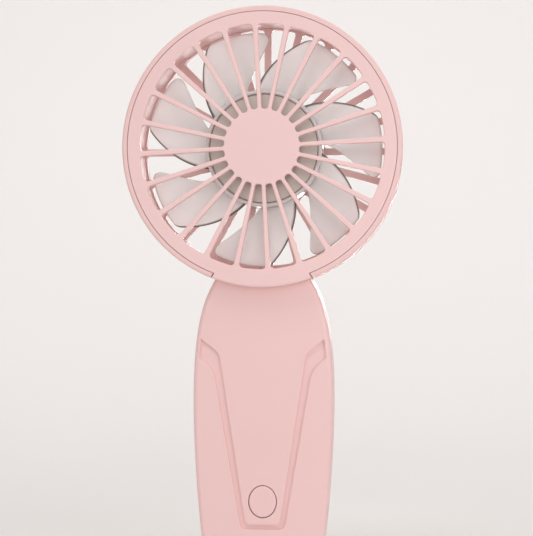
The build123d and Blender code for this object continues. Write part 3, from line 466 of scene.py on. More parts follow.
def joined(data, *others):
    """Add the faces of other meshes to a mesh and close the seams between them."""
    mesh = bmesh.new()
    for part in (data, *others):
        mesh.from_mesh(part)
    bmesh.ops.remove_doubles(mesh, verts=mesh.verts, dist=2 * SAME)
    bmesh.ops.recalc_face_normals(mesh, faces=mesh.faces)
    mark_sharp(mesh, SHARP)
    mesh.to_mesh(data)
    mesh.free()


# ---------------------------------------------------------------- shared surface effects
def effect(name, inputs, *outputs):
    """A shader group of numbers, what it is given, and the object's own coordinates."""
    group, given = new_group(name, "ShaderNodeTree", inputs, dict.fromkeys(outputs, "Float"))
    return group, given, object_place(group)


def object_place(tree):
    """Object coordinates, which stay with the surface."""
    return tree.nodes.new("ShaderNodeTexCoord").outputs["Object"]


def maths(tree, operation, *values):
    """A math node's output."""
    return node(tree, "ShaderNodeMath", dict(enumerate(values)), operation=operation).outputs[0]


def noise(tree, place, scale, detail=2.0, rough=0.5):
    """A noise texture's value."""
    return node(tree, "ShaderNodeTexNoise", {"Vector": place, "Scale": scale, "Detail": detail,
                                             "Roughness": rough}).outputs[0]


@built_once
def moulded_texture(name):
    """Fine spark texture of a mould and the slow change of tone where the plastic flowed."""
    group, given, place = effect(name, {"Grain Scale": 2600.0, "Flow Scale": 28.0},
                                 "Height", "Tone")
    grain = noise(group, place, given["Grain Scale"], 3.0, 0.6)
    flow = noise(group, place, given["Flow Scale"], 2.0)
    pits = node(group, "ShaderNodeTexVoronoi", {"Vector": place,
                                                "Scale": given["Grain Scale"]}).outputs[0]
    height = maths(group, "MULTIPLY_ADD", pits, 0.4, grain)
    node(group, "NodeGroupOutput", {"Height": height, "Tone": flow})
    return group


@built_once
def handled_edges(name):
    """A mask along edges and corners, where hands and handling polish a surface."""
    group, given, place = effect(name, {"Width": 0.0006, "Patch Scale": 160.0}, "Mask")
    soft = node(group, "ShaderNodeBevel", {"Radius": given["Width"]}, samples=4)
    flat = group.nodes.new("ShaderNodeNewGeometry")
    level = node(group, "ShaderNodeVectorMath", {0: soft.outputs[0], 1: flat.outputs["Normal"]},
                 operation="DOT_PRODUCT").outputs["Value"]
    edge = maths(group, "MULTIPLY", maths(group, "SUBTRACT", 1.0, level), 6.0)
    patches = noise(group, place, given["Patch Scale"], 3.0)
    worn = maths(group, "MULTIPLY", edge, patches)
    node(group, "NodeGroupOutput", {"Mask": maths(group, "MINIMUM", worn, 1.0)})
    return group


@built_once
def settled_dust(name):
    """A thin veil of dust on what faces up, in soft patches."""
    group, given, place = effect(name, {"Amount": 0.1, "Patch Scale": 90.0}, "Mask")
    facing = group.nodes.new("ShaderNodeNewGeometry").outputs["Normal"]
    up = maths(group, "MAXIMUM", node(group, "ShaderNodeSeparateXYZ",
                                      {0: facing}).outputs["Z"], 0.0)
    patches = noise(group, place, given["Patch Scale"], 4.0, 0.65)
    veil = maths(group, "MULTIPLY", maths(group, "MULTIPLY", up, patches), given["Amount"])
    node(group, "NodeGroupOutput", {"Mask": veil})
    return group


@built_once
def turned_rings(name):
    """Fine rings that a lathe leaves about the fan's axis."""
    group, given, place = effect(name, {"Ring Scale": 5200.0, "Axis Height": AXIS_HEIGHT},
                                 "Height", "Tone")
    parts = node(group, "ShaderNodeSeparateXYZ", {0: place}).outputs
    up = maths(group, "SUBTRACT", parts["Z"], given["Axis Height"])
    flat = node(group, "ShaderNodeCombineXYZ", {"X": parts["X"], "Y": up}).outputs[0]
    away = node(group, "ShaderNodeVectorMath", {0: flat}, operation="LENGTH").outputs["Value"]
    rings = node(group, "ShaderNodeTexNoise", {"W": away, "Scale": given["Ring Scale"],
                                               "Detail": 3.0}, noise_dimensions="1D")
    broad = node(group, "ShaderNodeTexNoise", {"W": away, "Scale": 420.0},
                 noise_dimensions="1D")
    node(group, "NodeGroupOutput", {"Height": rings.outputs[0], "Tone": broad.outputs[0]})
    return group


def placed_effect(tree, group, values):
    """Place a shared effect in a material with its own values, and return its outputs."""
    made = node(tree, "ShaderNodeGroup", None, node_tree=group)
    for label, value in values.items():
        made.inputs[label].default_value = value
    return made.outputs


def mixed(tree, factor, first, second):
    """A colour between two colours."""
    return node(tree, "ShaderNodeMix", {0: factor, 6: first, 7: second},
                data_type="RGBA").outputs[2]


def ranged(tree, value, low, high):
    """A value from 0 to 1 turned into a value from low to high."""
    return node(tree, "ShaderNodeMapRange", {"Value": value, "To Min": low,
                                             "To Max": high}).outputs[0]


def shade(rgb, factor):
    """A colour made darker or lighter, with its alpha."""
    return [min(1, c * factor) for c in rgb] + [1]


def new_material(name):
    """A material with its tree emptied down to a shader and an output."""
    material = bpy.data.materials.new(name)
    material.use_nodes = True
    tree = material.node_tree
    tree.nodes.clear()
    shader = tree.nodes.new("ShaderNodeBsdfPrincipled")
    node(tree, "ShaderNodeOutputMaterial", {"Surface": shader.outputs[0]})
    return material, tree, shader


def connect(tree, shader, **sockets):
    """Feed the shader's sockets with values or links; underscores stand for spaces."""
    for label, value in sockets.items():
        socket = shader.inputs[label.replace("_", " ")]
        if isinstance(value, bpy.types.NodeSocket):
            tree.links.new(value, socket)
        else:
            socket.default_value = value


def bumped(tree, height, strength, distance):
    """A surface normal disturbed by a height."""
    return node(tree, "ShaderNodeBump", {"Height": height, "Strength": strength,
                                         "Distance": distance}).outputs[0]


# ---------------------------------------------------------------- finishes
def plastic(name, rgb, roughness=(0.42, 0.56), grain=0.14, subsurface=0.06, dust=0.1, worn=0.35):
    """Moulded plastic with a fine spark texture, handled edges and a little dust."""
    material, tree, shader = new_material(name)
    moulded = placed_effect(tree, moulded_texture(), {"Grain Scale": 2600.0, "Flow Scale": 30.0})
    edges = placed_effect(tree, handled_edges(), {"Width": 0.0005})
    dusty = placed_effect(tree, settled_dust(), {"Amount": dust})
    base = mixed(tree, moulded["Tone"], shade(rgb, 0.965), shade(rgb, 1.03))
    polished = mixed(tree, maths(tree, "MULTIPLY", edges["Mask"], worn), base, shade(rgb, 1.12))
    veiled = mixed(tree, dusty["Mask"], polished, [0.74, 0.71, 0.68, 1])
    rough = maths(tree, "ADD", ranged(tree, moulded["Tone"], *roughness), dusty["Mask"])
    connect(tree, shader, Base_Color=veiled, Roughness=rough, IOR=1.5,
            Subsurface_Weight=subsurface, Subsurface_Radius=(0.004, 0.002, 0.0015),
            Subsurface_Scale=0.3, Normal=bumped(tree, moulded["Height"], grain, 0.00002))
    return material


def blade_plastic(name, rgb, line):
    """Glossy white plastic with painted shade along the blades' thin edges, standing for their
    edge faces in shadow.
    """
    material, tree, shader = new_material(name)
    moulded = placed_effect(tree, moulded_texture(), {"Grain Scale": 1500.0, "Flow Scale": 60.0})
    dusty = placed_effect(tree, settled_dust(), {"Amount": 0.06})
    # how much painted shade each point of a blade gets along its edges, read from the blade mesh
    edge = node(tree, "ShaderNodeAttribute", None, attribute_name="edge_line").outputs["Fac"]
    base = mixed(tree, moulded["Tone"], shade(rgb, 0.95), shade(rgb, 1.02))
    veiled = mixed(tree, dusty["Mask"], base, [0.66, 0.62, 0.58, 1])
    # darken the blades' edges with painted shade
    edge_shaded = mixed(tree, edge, veiled, shade(line, 1))
    connect(tree, shader, Base_Color=edge_shaded, IOR=1.5, Subsurface_Weight=0.8,
            Subsurface_Radius=(0.004, 0.004, 0.0038), Subsurface_Scale=1.0,
            Roughness=ranged(tree, moulded["Tone"], 0.24, 0.36),
            Normal=bumped(tree, moulded["Height"], 0.05, 0.00001))
    return material


def metal(name, rgb, roughness=(0.25, 0.42), turned=False, depth=0.12):
    """Bare or plated metal, either turned on a lathe or tumbled."""
    material, tree, shader = new_material(name)
    if turned:
        marks = placed_effect(tree, turned_rings(), {"Ring Scale": 5200.0,
                                                      "Axis Height": AXIS_HEIGHT})
    else:
        marks = placed_effect(tree, moulded_texture(), {"Grain Scale": 3800.0,
                                                       "Flow Scale": 180.0})
    edges = placed_effect(tree, handled_edges(), {"Width": 0.0002})
    base = mixed(tree, marks["Tone"], shade(rgb, 0.86), shade(rgb, 1.06))
    bright = mixed(tree, edges["Mask"], base, shade(rgb, 1.3))
    connect(tree, shader, Base_Color=bright, Metallic=1.0,
            Roughness=ranged(tree, marks["Tone"], *roughness),
            Normal=bumped(tree, marks["Height"], depth, 0.00002))
    return material


def fibreglass(name, rgb):
    """A circuit board: solder mask over copper tracks on woven glass."""
    material, tree, shader = new_material(name)
    place = object_place(tree)
    tracks = node(tree, "ShaderNodeTexVoronoi", {"Vector": place, "Scale": 330.0},
                  feature="DISTANCE_TO_EDGE").outputs[0]
    line = ranged(tree, maths(tree, "LESS_THAN", tracks, 0.07), 0.0, 1.0)
    weave = noise(tree, place, 2200.0, 1.0)
    base = mixed(tree, weave, shade(rgb, 0.85), shade(rgb, 1.1))
    masked = mixed(tree, line, base, shade(rgb, 1.7))
    connect(tree, shader, Base_Color=masked, Roughness=ranged(tree, weave, 0.28, 0.4),
            Normal=bumped(tree, line, 0.3, 0.00003))
    return material


def film(name, rgb):
    """Shrunk film over a battery cell, wrinkled near its ends."""
    material, tree, shader = new_material(name)
    place = object_place(tree)
    wrinkles = noise(tree, place, 240.0, 3.0, 0.6)
    broad = noise(tree, place, 40.0)
    base = mixed(tree, broad, shade(rgb, 0.9), shade(rgb, 1.05))
    connect(tree, shader, Base_Color=base, Metallic=ranged(tree, broad, 0.5, 0.7),
            Roughness=ranged(tree, wrinkles, 0.22, 0.4),
            Normal=bumped(tree, wrinkles, 0.3, 0.0001))
    return material


def foam(name, rgb):
    """Open-cell foam."""
    material, tree, shader = new_material(name)
    place = object_place(tree)
    cells = node(tree, "ShaderNodeTexVoronoi", {"Vector": place, "Scale": 1600.0}).outputs[0]
    base = mixed(tree, cells, shade(rgb, 1.3), shade(rgb, 0.6))
    connect(tree, shader, Base_Color=base, Roughness=ranged(tree, cells, 0.8, 0.98),
            Normal=bumped(tree, cells, 0.6, 0.0002))
    return material


def finishes(scene):
    """Every finish of the fan, by name."""
    tint = scene.fan_colours
    makers = {
        "shell_pink": lambda n: plastic(n, tint.shell),
        "cover_pink": lambda n: plastic(n, tint.cover, dust=0.06),
        "grip_pink": lambda n: plastic(n, tint.shell, roughness=(0.38, 0.5), grain=0.1),
        "button_pink": lambda n: plastic(n, tint.shell, roughness=(0.34, 0.46), grain=0.08,
                                         worn=0.6),
        "impeller_white": lambda n: blade_plastic(n, tint.impeller, tint.edge_line),
        "rotor_steel": lambda n: metal(n, tint.rotor, (0.38, 0.52), turned=True),
        "ferrite": lambda n: plastic(n, linear(52, 50, 52), (0.5, 0.7), 0.4, 0.0, 0.05),
        "shaft_steel": lambda n: metal(n, linear(200, 202, 205), (0.12, 0.24), turned=True),
        "motor_brass": lambda n: metal(n, linear(196, 158, 92), (0.26, 0.4), turned=True),
        "bush_bronze": lambda n: metal(n, linear(156, 116, 78), (0.4, 0.6), depth=0.3),
        "core_steel": lambda n: metal(n, linear(120, 124, 130), (0.4, 0.55), depth=0.2),
        "coil_copper": lambda n: metal(n, linear(186, 98, 52), (0.2, 0.34)),
        "circuit_board": lambda n: fibreglass(n, tint.board),
        "chip_black": lambda n: plastic(n, linear(34, 34, 36), (0.45, 0.6), 0.3, 0.0, 0.08),
        "screw_steel": lambda n: metal(n, linear(150, 150, 154), (0.22, 0.38)),
        "switch_metal": lambda n: metal(n, linear(178, 178, 180), (0.25, 0.4)),
        "socket_steel": lambda n: metal(n, linear(190, 190, 192), (0.18, 0.32)),
        "contact_gold": lambda n: metal(n, linear(222, 178, 96), (0.15, 0.25)),
        "battery_foil": lambda n: film(n, tint.wrap),
        "foam": lambda n: foam(n, linear(70, 70, 74)),
        "wire_red": lambda n: plastic(n, tint.wire_red, (0.35, 0.5), 0.1, 0.02, 0.04),
        "wire_black": lambda n: plastic(n, tint.wire_black, (0.35, 0.5), 0.1, 0.0, 0.04),
    }
    return makers


def finish_named(name):
    """A finish, made when it is first asked for."""
    found = bpy.data.materials.get("fan_" + name)
    return found or finishes(bpy.context.scene)[name]("fan_" + name)


def refine(source, name, finish, body="housing", slot=None, sharp=30):
    """Stand a smooth copy in for a CAD node, in the given finish and body."""
    dress(smooth_copy(source, name, sharp), finish_named(finish), body, slot or finish, source)


def paint(source, finish):
    """Give a CAD node a better material."""
    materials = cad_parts[source].data.materials
    materials.clear()
    materials.append(finish_named(finish))


# ---------------------------------------------------------------- front cover
def slot_outline(head):
    """One slot of the front cover, with its middle along the local X axis."""
    half = pi / head.spokes

    def corner(radius, spoke):
        return Vector((radius * cos(half) + spoke / 2 * sin(half),
                       radius * sin(half) - spoke / 2 * cos(half)))

    root = corner(head.disc_radius, head.spoke_root)
    tip = corner(head.slot_radius, head.spoke_tip)
    reach = tip.angle(Vector((1, 0)))
    bend = [polar(head.slot_radius, reach * step / 4) for step in (-2, 0, 2)]
    points = [Vector((root.x, -root.y)), Vector((tip.x, -tip.y)), *bend, tip, root]
    rounds = [head.root_round, head.tip_round, 0, 0, 0, head.tip_round, head.root_round]
    return rounded(points, rounds)


def cover_outline(head, steps):
    """The front cover's outer edge, with the thumb tab that reaches the head's edge below."""
    seam = polar(head.cover_radius + 0.15 * MM, head.tab_half - pi / 2)
    lean = head.tab_half + head.tab_splay
    way = Vector((sin(lean), -cos(lean)))

    def cross(radius):
        along = seam.dot(way)
        return seam + way * (sqrt(along**2 + radius**2 - seam.length_squared) - along)

    near, far = cross(head.cover_radius), cross(head.radius)
    start = near.angle_signed(Vector((1, 0)))
    edge = arc(head.cover_radius, start, pi - start, steps)
    stop = far.angle_signed(Vector((1, 0)))
    ramp = [near.lerp(far, i / 4) for i in range(1, 4)]
    tab = arc(head.radius, -pi - stop, stop, steps // 4)
    return edge + [Vector((-p.x, p.y)) for p in ramp] + tab + ramp[::-1]


class FAN_OT_front_cover(bpy.types.Operator):
    """Build the front cover: its slots, its rim with the thumb tab, and its snap hooks"""

    bl_idname = "fan.front_cover"
    bl_label = "Front Cover"

    def execute(self, context):
        head = context.scene.fan_head
        front, rear = COVER_LOW.y, COVER_LOW.y + head.cover_depth
        half = pi / head.spokes
        inner, outer, steps = head.disc_radius - 0.8 * MM, head.slot_radius + 0.9 * MM, 6
        slot = slot_outline(head)
        rounds = [head.edge_round] * len(slot)
        sector = arc(inner, half, -half, 2) + arc(outer, -half, half, steps)
        cell = bmesh.new()
        fill(cell, sector, [moved_out(slot, rounds)], front, True)
        fill(cell, sector, [slot], rear, False)
        skin(cell, rounded_edge(slot, rounds, 1, front, rear))
        material = finish_named("cover_pink")
        piece = ringed(written(cell, "cell"), "front_cover", head.spokes, material,
                       head.turn + half)

        rim = bmesh.new()
        edge = cover_outline(head, 150)
        tab_span = head.radius - head.cover_radius
        bite = [0.2 * MM + (head.rim_round - 0.2 * MM)
                * min(1, max(0, (p.length - head.cover_radius) / tab_span)) for p in edge]
        hole = circle(outer, steps * head.spokes, head.turn)
        disc = circle(inner, 2 * head.spokes, head.turn)
        fill(rim, moved_out(edge, [-b for b in bite]), [hole], front, True)
        fill(rim, edge, [hole], rear, False)
        skin(rim, rounded_edge(edge, bite, -1, front, rear))
        fill(rim, disc, [], front, True)
        fill(rim, disc, [], rear, False)
        for corner in rim.verts:
            corner.co.z += head.axis_height
        joined(piece.data, finished(rim, "rim"))
        even_shading(piece)
        dress(piece, material, "housing", "grille_pink", "front_grille")

        hook = bmesh.new()
        wall, nib, nib_height, width = 0.9 * MM, 0.5 * MM, 1.2 * MM, 6 * MM
        root = rear - 0.3 * MM
        back = rear + head.hook_depth
        reach = sqrt((head.radius - 3.5 * MM) ** 2 - (width / 2) ** 2) - 0.05 * MM
        profile = [(reach - wall, root), (reach, root), (reach, back - nib_height),
                   (reach + nib, back - nib_height * 0.7), (reach + nib, back - nib_height * 0.3),
                   (reach, back), (reach - wall, back)]
        skin(hook, [[Vector((x, y, z)) for x, y in profile] for z in (-width / 2, width / 2)])
        for side in (-width / 2, width / 2):
            hook.faces.new([hook.verts.new((x, y, side)) for x, y in profile])
        hooks = ringed(finished(hook, "hook"), "front_cover_hooks", 4, material, pi / 4)
        dress(hooks, material, "housing", "grille_pink")
        return {"FINISHED"}


class FAN_OT_head_ring(bpy.types.Operator):
    """Build the head's ring and the rear cage, with their rounds smooth"""

    bl_idname = "fan.head_ring"
    bl_label = "Head Ring and Rear Cage"

    def execute(self, context):
        refine("head_housing", "head_ring", "shell_pink")
        refine("rear_grille", "rear_cage", "cover_pink", slot="grille_pink")
        return {"FINISHED"}


# ---------------------------------------------------------------- impeller and rotor
EDGE_REACH = 0.9 * MM  # how far from its edges a blade thins out
EDGE_SHARE = 0.12  # of a blade's thickness is left at its edges
# widths of the bands of painted shade along a blade's trailing, leading and tip edges
TRAIL_SHADE_WIDTH, LEAD_SHADE_WIDTH, TIP_SHADE_WIDTH = 0.9 * MM, 0.5 * MM, 0.4 * MM  # widths of the dark lines
HUB_FRONT_GAP, HUB_REAR_GAP = 0.8 * MM, 0.5 * MM  # how far the hub's wall passes the rotor cup


def eased(distance, reach):
    """0 at an edge, rising like a round to 1 at a distance of reach from it."""
    return sqrt(max(0, 1 - (1 - min(distance / reach, 1)) ** 2))


def blade_angles(size, radius):
    """The leading and trailing edges' places on a blade at a radius from the axis."""
    out = (radius - size.hub_radius) / MM
    lead = size.lead_angle - radians(1.9 * out - 0.034 * out**2)
    trail = size.trail_angle - radians(1.57 * out)
    return lead, trail


def corner_cut(size, radius, corner):
    """How far a rounded corner at the tip pulls an edge in, as an angle."""
    past = radius - (size.tip_radius - corner)
    if past <= 0:
        return 0.0
    return (corner - sqrt(max(0, corner**2 - past**2))) / radius


def line_share(leading, trailing, tip):
    """How strong the painted shade along a blade's edges is at given distances from the blade's
    edges, 0 to 1.
    """
    dark = max(1 - trailing / TRAIL_SHADE_WIDTH, 0.7 * (1 - leading / LEAD_SHADE_WIDTH),
               0.35 * (1 - tip / TIP_SHADE_WIDTH))
    return min(1, max(0, dark) * 1.6)


def blade_mesh(size, middle):
    """One blade, as a thin shell whose edges thin out like a lens, with painted shade marked along
    its edges.
    """
    rows, columns = 34, 30
    root = size.hub_radius - size.hub_wall / 2
    span = size.tip_radius - root
    sheet = []
    for row in range(rows + 1):
        share = row / rows
        radius = root + span * (1 - (1 - share) ** 1.7)
        lead, trail = blade_angles(size, radius)
        lead += corner_cut(size, radius, size.lead_round)
        trail -= corner_cut(size, radius, size.trail_round)
        along = max(0, (radius - size.hub_radius) / (size.tip_radius - size.hub_radius))
        rise = size.rise_root + (size.rise_tip - size.rise_root) * along
        full = blade_angles(size, radius)
        line = []
        for column in range(columns + 1):
            t = (1 - cos(pi * column / columns)) / 2
            turn = lead + (trail - lead) * t
            part = (turn - full[0]) / (full[1] - full[0])
            width = radius * (full[1] - full[0])
            bow = size.camber * width * 4 * part * (1 - part)
            depth = middle + rise * (0.5 - part) - bow
            point = Vector((radius * cos(turn), depth, radius * sin(turn)))
            edges = (radius * abs(turn - lead), radius * abs(trail - turn),
                     size.tip_radius - radius)
            line.append((point, edges))
        sheet.append(line)

    mesh = bmesh.new()
    # each corner carries how much painted shade it gets, standing for the blade's edge faces in
    # shadow
    mark = mesh.verts.layers.float.new("edge_line")
    front, back = [], []
    for row, line in enumerate(sheet):
        front.append([])
        back.append([])
        for column, (point, edges) in enumerate(line):
            up = sheet[min(row + 1, rows)][column][0] - sheet[max(row - 1, 0)][column][0]
            across = line[min(column + 1, columns)][0] - line[max(column - 1, 0)][0]
            normal = across.cross(up).normalized()
            thin = size.thickness / 2 * max(EDGE_SHARE, eased(min(edges), EDGE_REACH))
            for side, grid in ((1, front), (-1, back)):
                corner = mesh.verts.new(point + normal * thin * side)
                corner[mark] = line_share(*edges)
                grid[-1].append(corner)
    for row in range(rows):
        for column in range(columns):
            for grid in (front, back):
                mesh.faces.new((grid[row][column], grid[row][column + 1],
                                grid[row + 1][column + 1], grid[row + 1][column]))
    ring = ([(0, c) for c in range(columns)] + [(r, columns) for r in range(rows)]
            + [(rows, c) for c in range(columns, 0, -1)] + [(r, 0) for r in range(rows, 0, -1)])
    for (r, c), (s, d) in zip(ring, ring[1:] + ring[:1]):
        mesh.faces.new((front[r][c], front[s][d], back[s][d], back[r][c]))
    return finished(mesh, "blade", 60)


def lathe(profile, name, steps=96, sharp=SHARP):
    """A closed profile of radius and depth turned about the fan's axis."""
    height = bpy.context.scene.fan_head.axis_height
    mesh = bmesh.new()
    skin(mesh, [[Vector((p.x, depth, height + p.y)) for p in circle(radius, steps)]
                for radius, depth in profile + profile[:1]])
    return finished(mesh, name, sharp)


def softened(corners, rounds, steps=4):
    """A profile whose corners are rounded."""
    points = [Vector(corner) for corner in corners]
    return [(p.x, p.y) for p in rounded(points, rounds, steps)]


class FAN_OT_impeller(bpy.types.Operator):
    """Build the impeller: the hub's wall with its lip, and the swept blades"""

    bl_idname = "fan.impeller"
    bl_label = "Impeller"

    def execute(self, context):
        size = context.scene.fan_impeller
        material = finish_named("impeller_white")
        cup_low, cup_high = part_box("rotor_cup")
        front, rear = cup_low.y - HUB_FRONT_GAP, cup_high.y + HUB_REAR_GAP
        bore = size.hub_radius - size.hub_wall
        lip = 0.4 * MM
        profile = softened([(bore, front), (size.hub_radius, front), (size.hub_radius, rear),
                            (bore, rear)], [lip, lip, lip / 2, lip / 2])
        hub = even_shading(add_object(lathe(profile, "impeller_hub"), "impeller_hub"))
        dress(hub, material, "rotor", "impeller_white", "impeller")
        blades = ringed(blade_mesh(size, (front + rear) / 2), "impeller_blades", size.blades,
                        material)
        dress(blades, material, "rotor", "impeller_white")
        return {"FINISHED"}


class FAN_OT_rotor(bpy.types.Operator):
    """Build the rotor: its steel cup, the magnet ring, the shaft and its clip"""

    bl_idname = "fan.rotor"
    bl_label = "Rotor"

    def execute(self, context):
        for source, name, finish in (("rotor_cup", "rotor_shell", "rotor_steel"),
                                     ("magnet_ring", "rotor_magnets", "ferrite"),
                                     ("motor_shaft", "rotor_shaft", "shaft_steel")):
            refine(source, name, finish, "rotor")
        paint("shaft_clip", "shaft_steel")
        return {"FINISHED"}


class FAN_OT_motor(bpy.types.Operator):
    """Build the motor that stays still: its base, bushes, core, windings and board"""

    bl_idname = "fan.motor"
    bl_label = "Motor"

    def execute(self, context):
        refine("motor_base", "motor_carrier", "motor_brass")
        for source in ("front_bush", "rear_bush"):
            refine(source, source + "_turned", "bush_bronze")
        paint("stator_core", "core_steel")
        paint("motor_board", "circuit_board")
        paint("motor_board_chips", "chip_black")
        self.windings()
        return {"FINISHED"}

    def windings(self):
        """Copper turns round each tooth of the core."""
        low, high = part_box("stator_coils")
        material = finish_named("coil_copper")
        wire, turns = 0.26 * MM, 9
        half_depth = (high.y - low.y) / 2 - wire
        half_width = 1.9 * MM
        outline = rounded_box(half_width, -half_depth, half_depth, 0.7 * MM)
        loop = bmesh.new()
        rows = []
        for quarter in range(5):
            turn = quarter * pi / 2
            out = moved_out(outline, [wire * cos(turn)] * len(outline))
            rows.append([Vector((wire * sin(turn), p.y, p.x)) for p in out])
        skin(loop, rows)
        start, stop = 7.9 * MM, 12.0 * MM
        pitch = (stop - start) / (turns - 1)
        middle = (low.y + high.y) / 2
        one = ringed(finished(loop, "turn", 80), "winding", turns, material, turn=0.0,
                     place=(start, middle, 0), step=(pitch, 0, 0), weld=0.0)
        coils = ringed(one.data, "motor_windings", 9, material, pi / 2, weld=0.0)
        dress(coils, material, "housing", "coil_copper", "stator_coils")


# ---------------------------------------------------------------- grip
class FAN_OT_grip(bpy.types.Operator):
    """Build the two halves of the grip, with their rounds smooth"""

    bl_idname = "fan.grip"
    bl_label = "Grip"

    def execute(self, context):
        refine("handle_front", "grip_front", "grip_pink", slot="shell_pink")
        refine("handle_rear", "grip_rear", "grip_pink", slot="shell_pink")
        return {"FINISHED"}


class FAN_OT_power_button(bpy.types.Operator):
    """Build the power button and the switch that it presses"""

    bl_idname = "fan.power_button"
    bl_label = "Power Button"

    def execute(self, context):
        refine("power_button", "button_cap", "button_pink", "button", "shell_pink")
        refine("switch_stem", "switch_plunger", "chip_black", "button")
        refine("switch_body", "switch_case", "switch_metal")
        return {"FINISHED"}


# ---------------------------------------------------------------- screws
def screw_mesh(head_radius, head_height, shank_radius, shank_length, name):
    """A pan-head screw along the depth axis, its head to the rear and its seat at the origin."""
    steps, pitch, point = 36, 0.5 * MM, 0.05 * MM
    thread = []
    turns = int(shank_length / pitch) - 1
    for i in range(turns):
        thread += [(shank_radius * 0.8, -shank_length + pitch * (i + 0.6)),
                   (shank_radius, -shank_length + pitch * (i + 1.1))]
    profile = ([(point, -shank_length), (shank_radius * 0.55, -shank_length)] + thread
               + [(shank_radius * 0.8, 0.0), (head_radius, 0.0),
                  (head_radius, head_height * 0.45), (head_radius * 0.93, head_height * 0.75),
                  (head_radius * 0.78, head_height * 0.93), (head_radius * 0.6, head_height)])
    mesh = bmesh.new()
    skin(mesh, [deep(circle(r, steps), y) for r, y in profile])
    arm, slot, floor = head_radius * 0.5, head_radius * 0.13, head_height * 0.45
    cross = []
    for quarter in range(4):
        turn = Matrix.Rotation(quarter * pi / 2, 2)
        cross += [turn @ Vector(p) for p in ((arm, -slot), (arm, slot), (slot, slot))]
    fill(mesh, circle(head_radius * 0.6, steps), [cross], head_height, False)
    taper = [p * 0.7 for p in cross]
    skin(mesh, [deep(cross, head_height), deep(taper, floor)])
    fill(mesh, taper, [], floor, False)
    fill(mesh, circle(point, steps), [], -shank_length, True)
    return finished(mesh, name)


class FAN_OT_screws(bpy.types.Operator):
    """Build the screws of the grip, the motor and the control board"""

    bl_idname = "fan.screws"
    bl_label = "Screws"

    def execute(self, context):
        axis = context.scene.fan_head.axis_height
        motor = [(p.x, axis + p.y) for p in circle(6.9 * MM, 3, pi / 2)]
        grip, board = ([(x * side * MM, z * MM) for x, z in pairs for side in (-1, 1)]
                       for pairs in (((11.0, 90.0), (12.6, 12.0)), ((6.9, 40.4), (6.9, 14.0))))
        for node_name, name, places, head_radius, head_height, shank in (
            ("handle_screws", "grip_screws", grip, 2.0, 1.5, 1.1),
            ("motor_screws", "motor_screw_set", motor, 1.8, 0.9, 1.0),
            ("board_screws", "board_screw_set", board, 1.5, 1.1, 0.8),
        ):
            low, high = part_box(node_name)
            seat = high.y - head_height * MM
            data = screw_mesh(head_radius * MM, head_height * MM, shank * MM, seat - low.y, name)
            material = finish_named("screw_steel")
            piece = stood(data, name, [(x, seat, z) for x, z in places], material, seed=3)
            dress(piece, material, "housing", "screw_steel", node_name)
        return {"FINISHED"}


# ---------------------------------------------------------------- electronics
class FAN_OT_charging_socket(bpy.types.Operator):
    """Build the charging socket: its steel shell, its tongue and the contacts on it"""

    bl_idname = "fan.charging_socket"
    bl_label = "Charging Socket"

    def execute(self, context):
        refine("usb_shell", "socket_shell", "socket_steel")
        refine("usb_tongue", "socket_tongue", "chip_black")
        low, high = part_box("usb_tongue")
        middle = (low.y + high.y) / 2
        material = finish_named("contact_gold")
        width, pitch, proud, count = 0.25 * MM, 0.5 * MM, 0.36 * MM, 12
        start, stop = low.z + 0.35 * MM, low.z + 3.9 * MM
        pad = bmesh.new()
        outline = rounded_box(width / 2, start, stop, 0.1 * MM)
        for face_front in (True, False):
            depth = -proud if face_front else proud
            rows = [deep(outline, depth), deep(outline, depth * 0.9)]
            skin(pad, rows)
            for row_depth, to_front in ((depth, face_front), (depth * 0.9, not face_front)):
                fill(pad, outline, [], row_depth, to_front)
        contacts = ringed(finished(pad, "contact"), "socket_contacts", count, material, turn=0.0,
                          place=(-pitch * (count - 1) / 2, middle, 0), step=(pitch, 0, 0),
                          weld=0.0)
        dress(contacts, material, "housing", "socket_steel")
        return {"FINISHED"}


class FAN_OT_electronics(bpy.types.Operator):
    """Finish the control board, its chips, the battery, its strip board and its pad"""

    bl_idname = "fan.electronics"
    bl_label = "Boards and Battery"

    def execute(self, context):
        refine("control_board", "control_board_mask", "circuit_board")
        refine("battery_cell", "battery_wrap", "battery_foil")
        paint("board_chips", "chip_black")
        paint("protection_board", "circuit_board")
        paint("battery_pad", "foam")
        return {"FINISHED"}


class FAN_OT_leads(bpy.types.Operator):
    """Build the insulated leads of the motor and the battery"""

    bl_idname = "fan.leads"
    bl_label = "Leads"

    def execute(self, context):
        for what in ("motor", "battery"):
            for pole, finish in (("positive", "wire_red"), ("negative", "wire_black")):
                refine(f"{what}_lead_{pole}", f"{what}_wire_{pole}", finish, sharp=50)
        return {"FINISHED"}


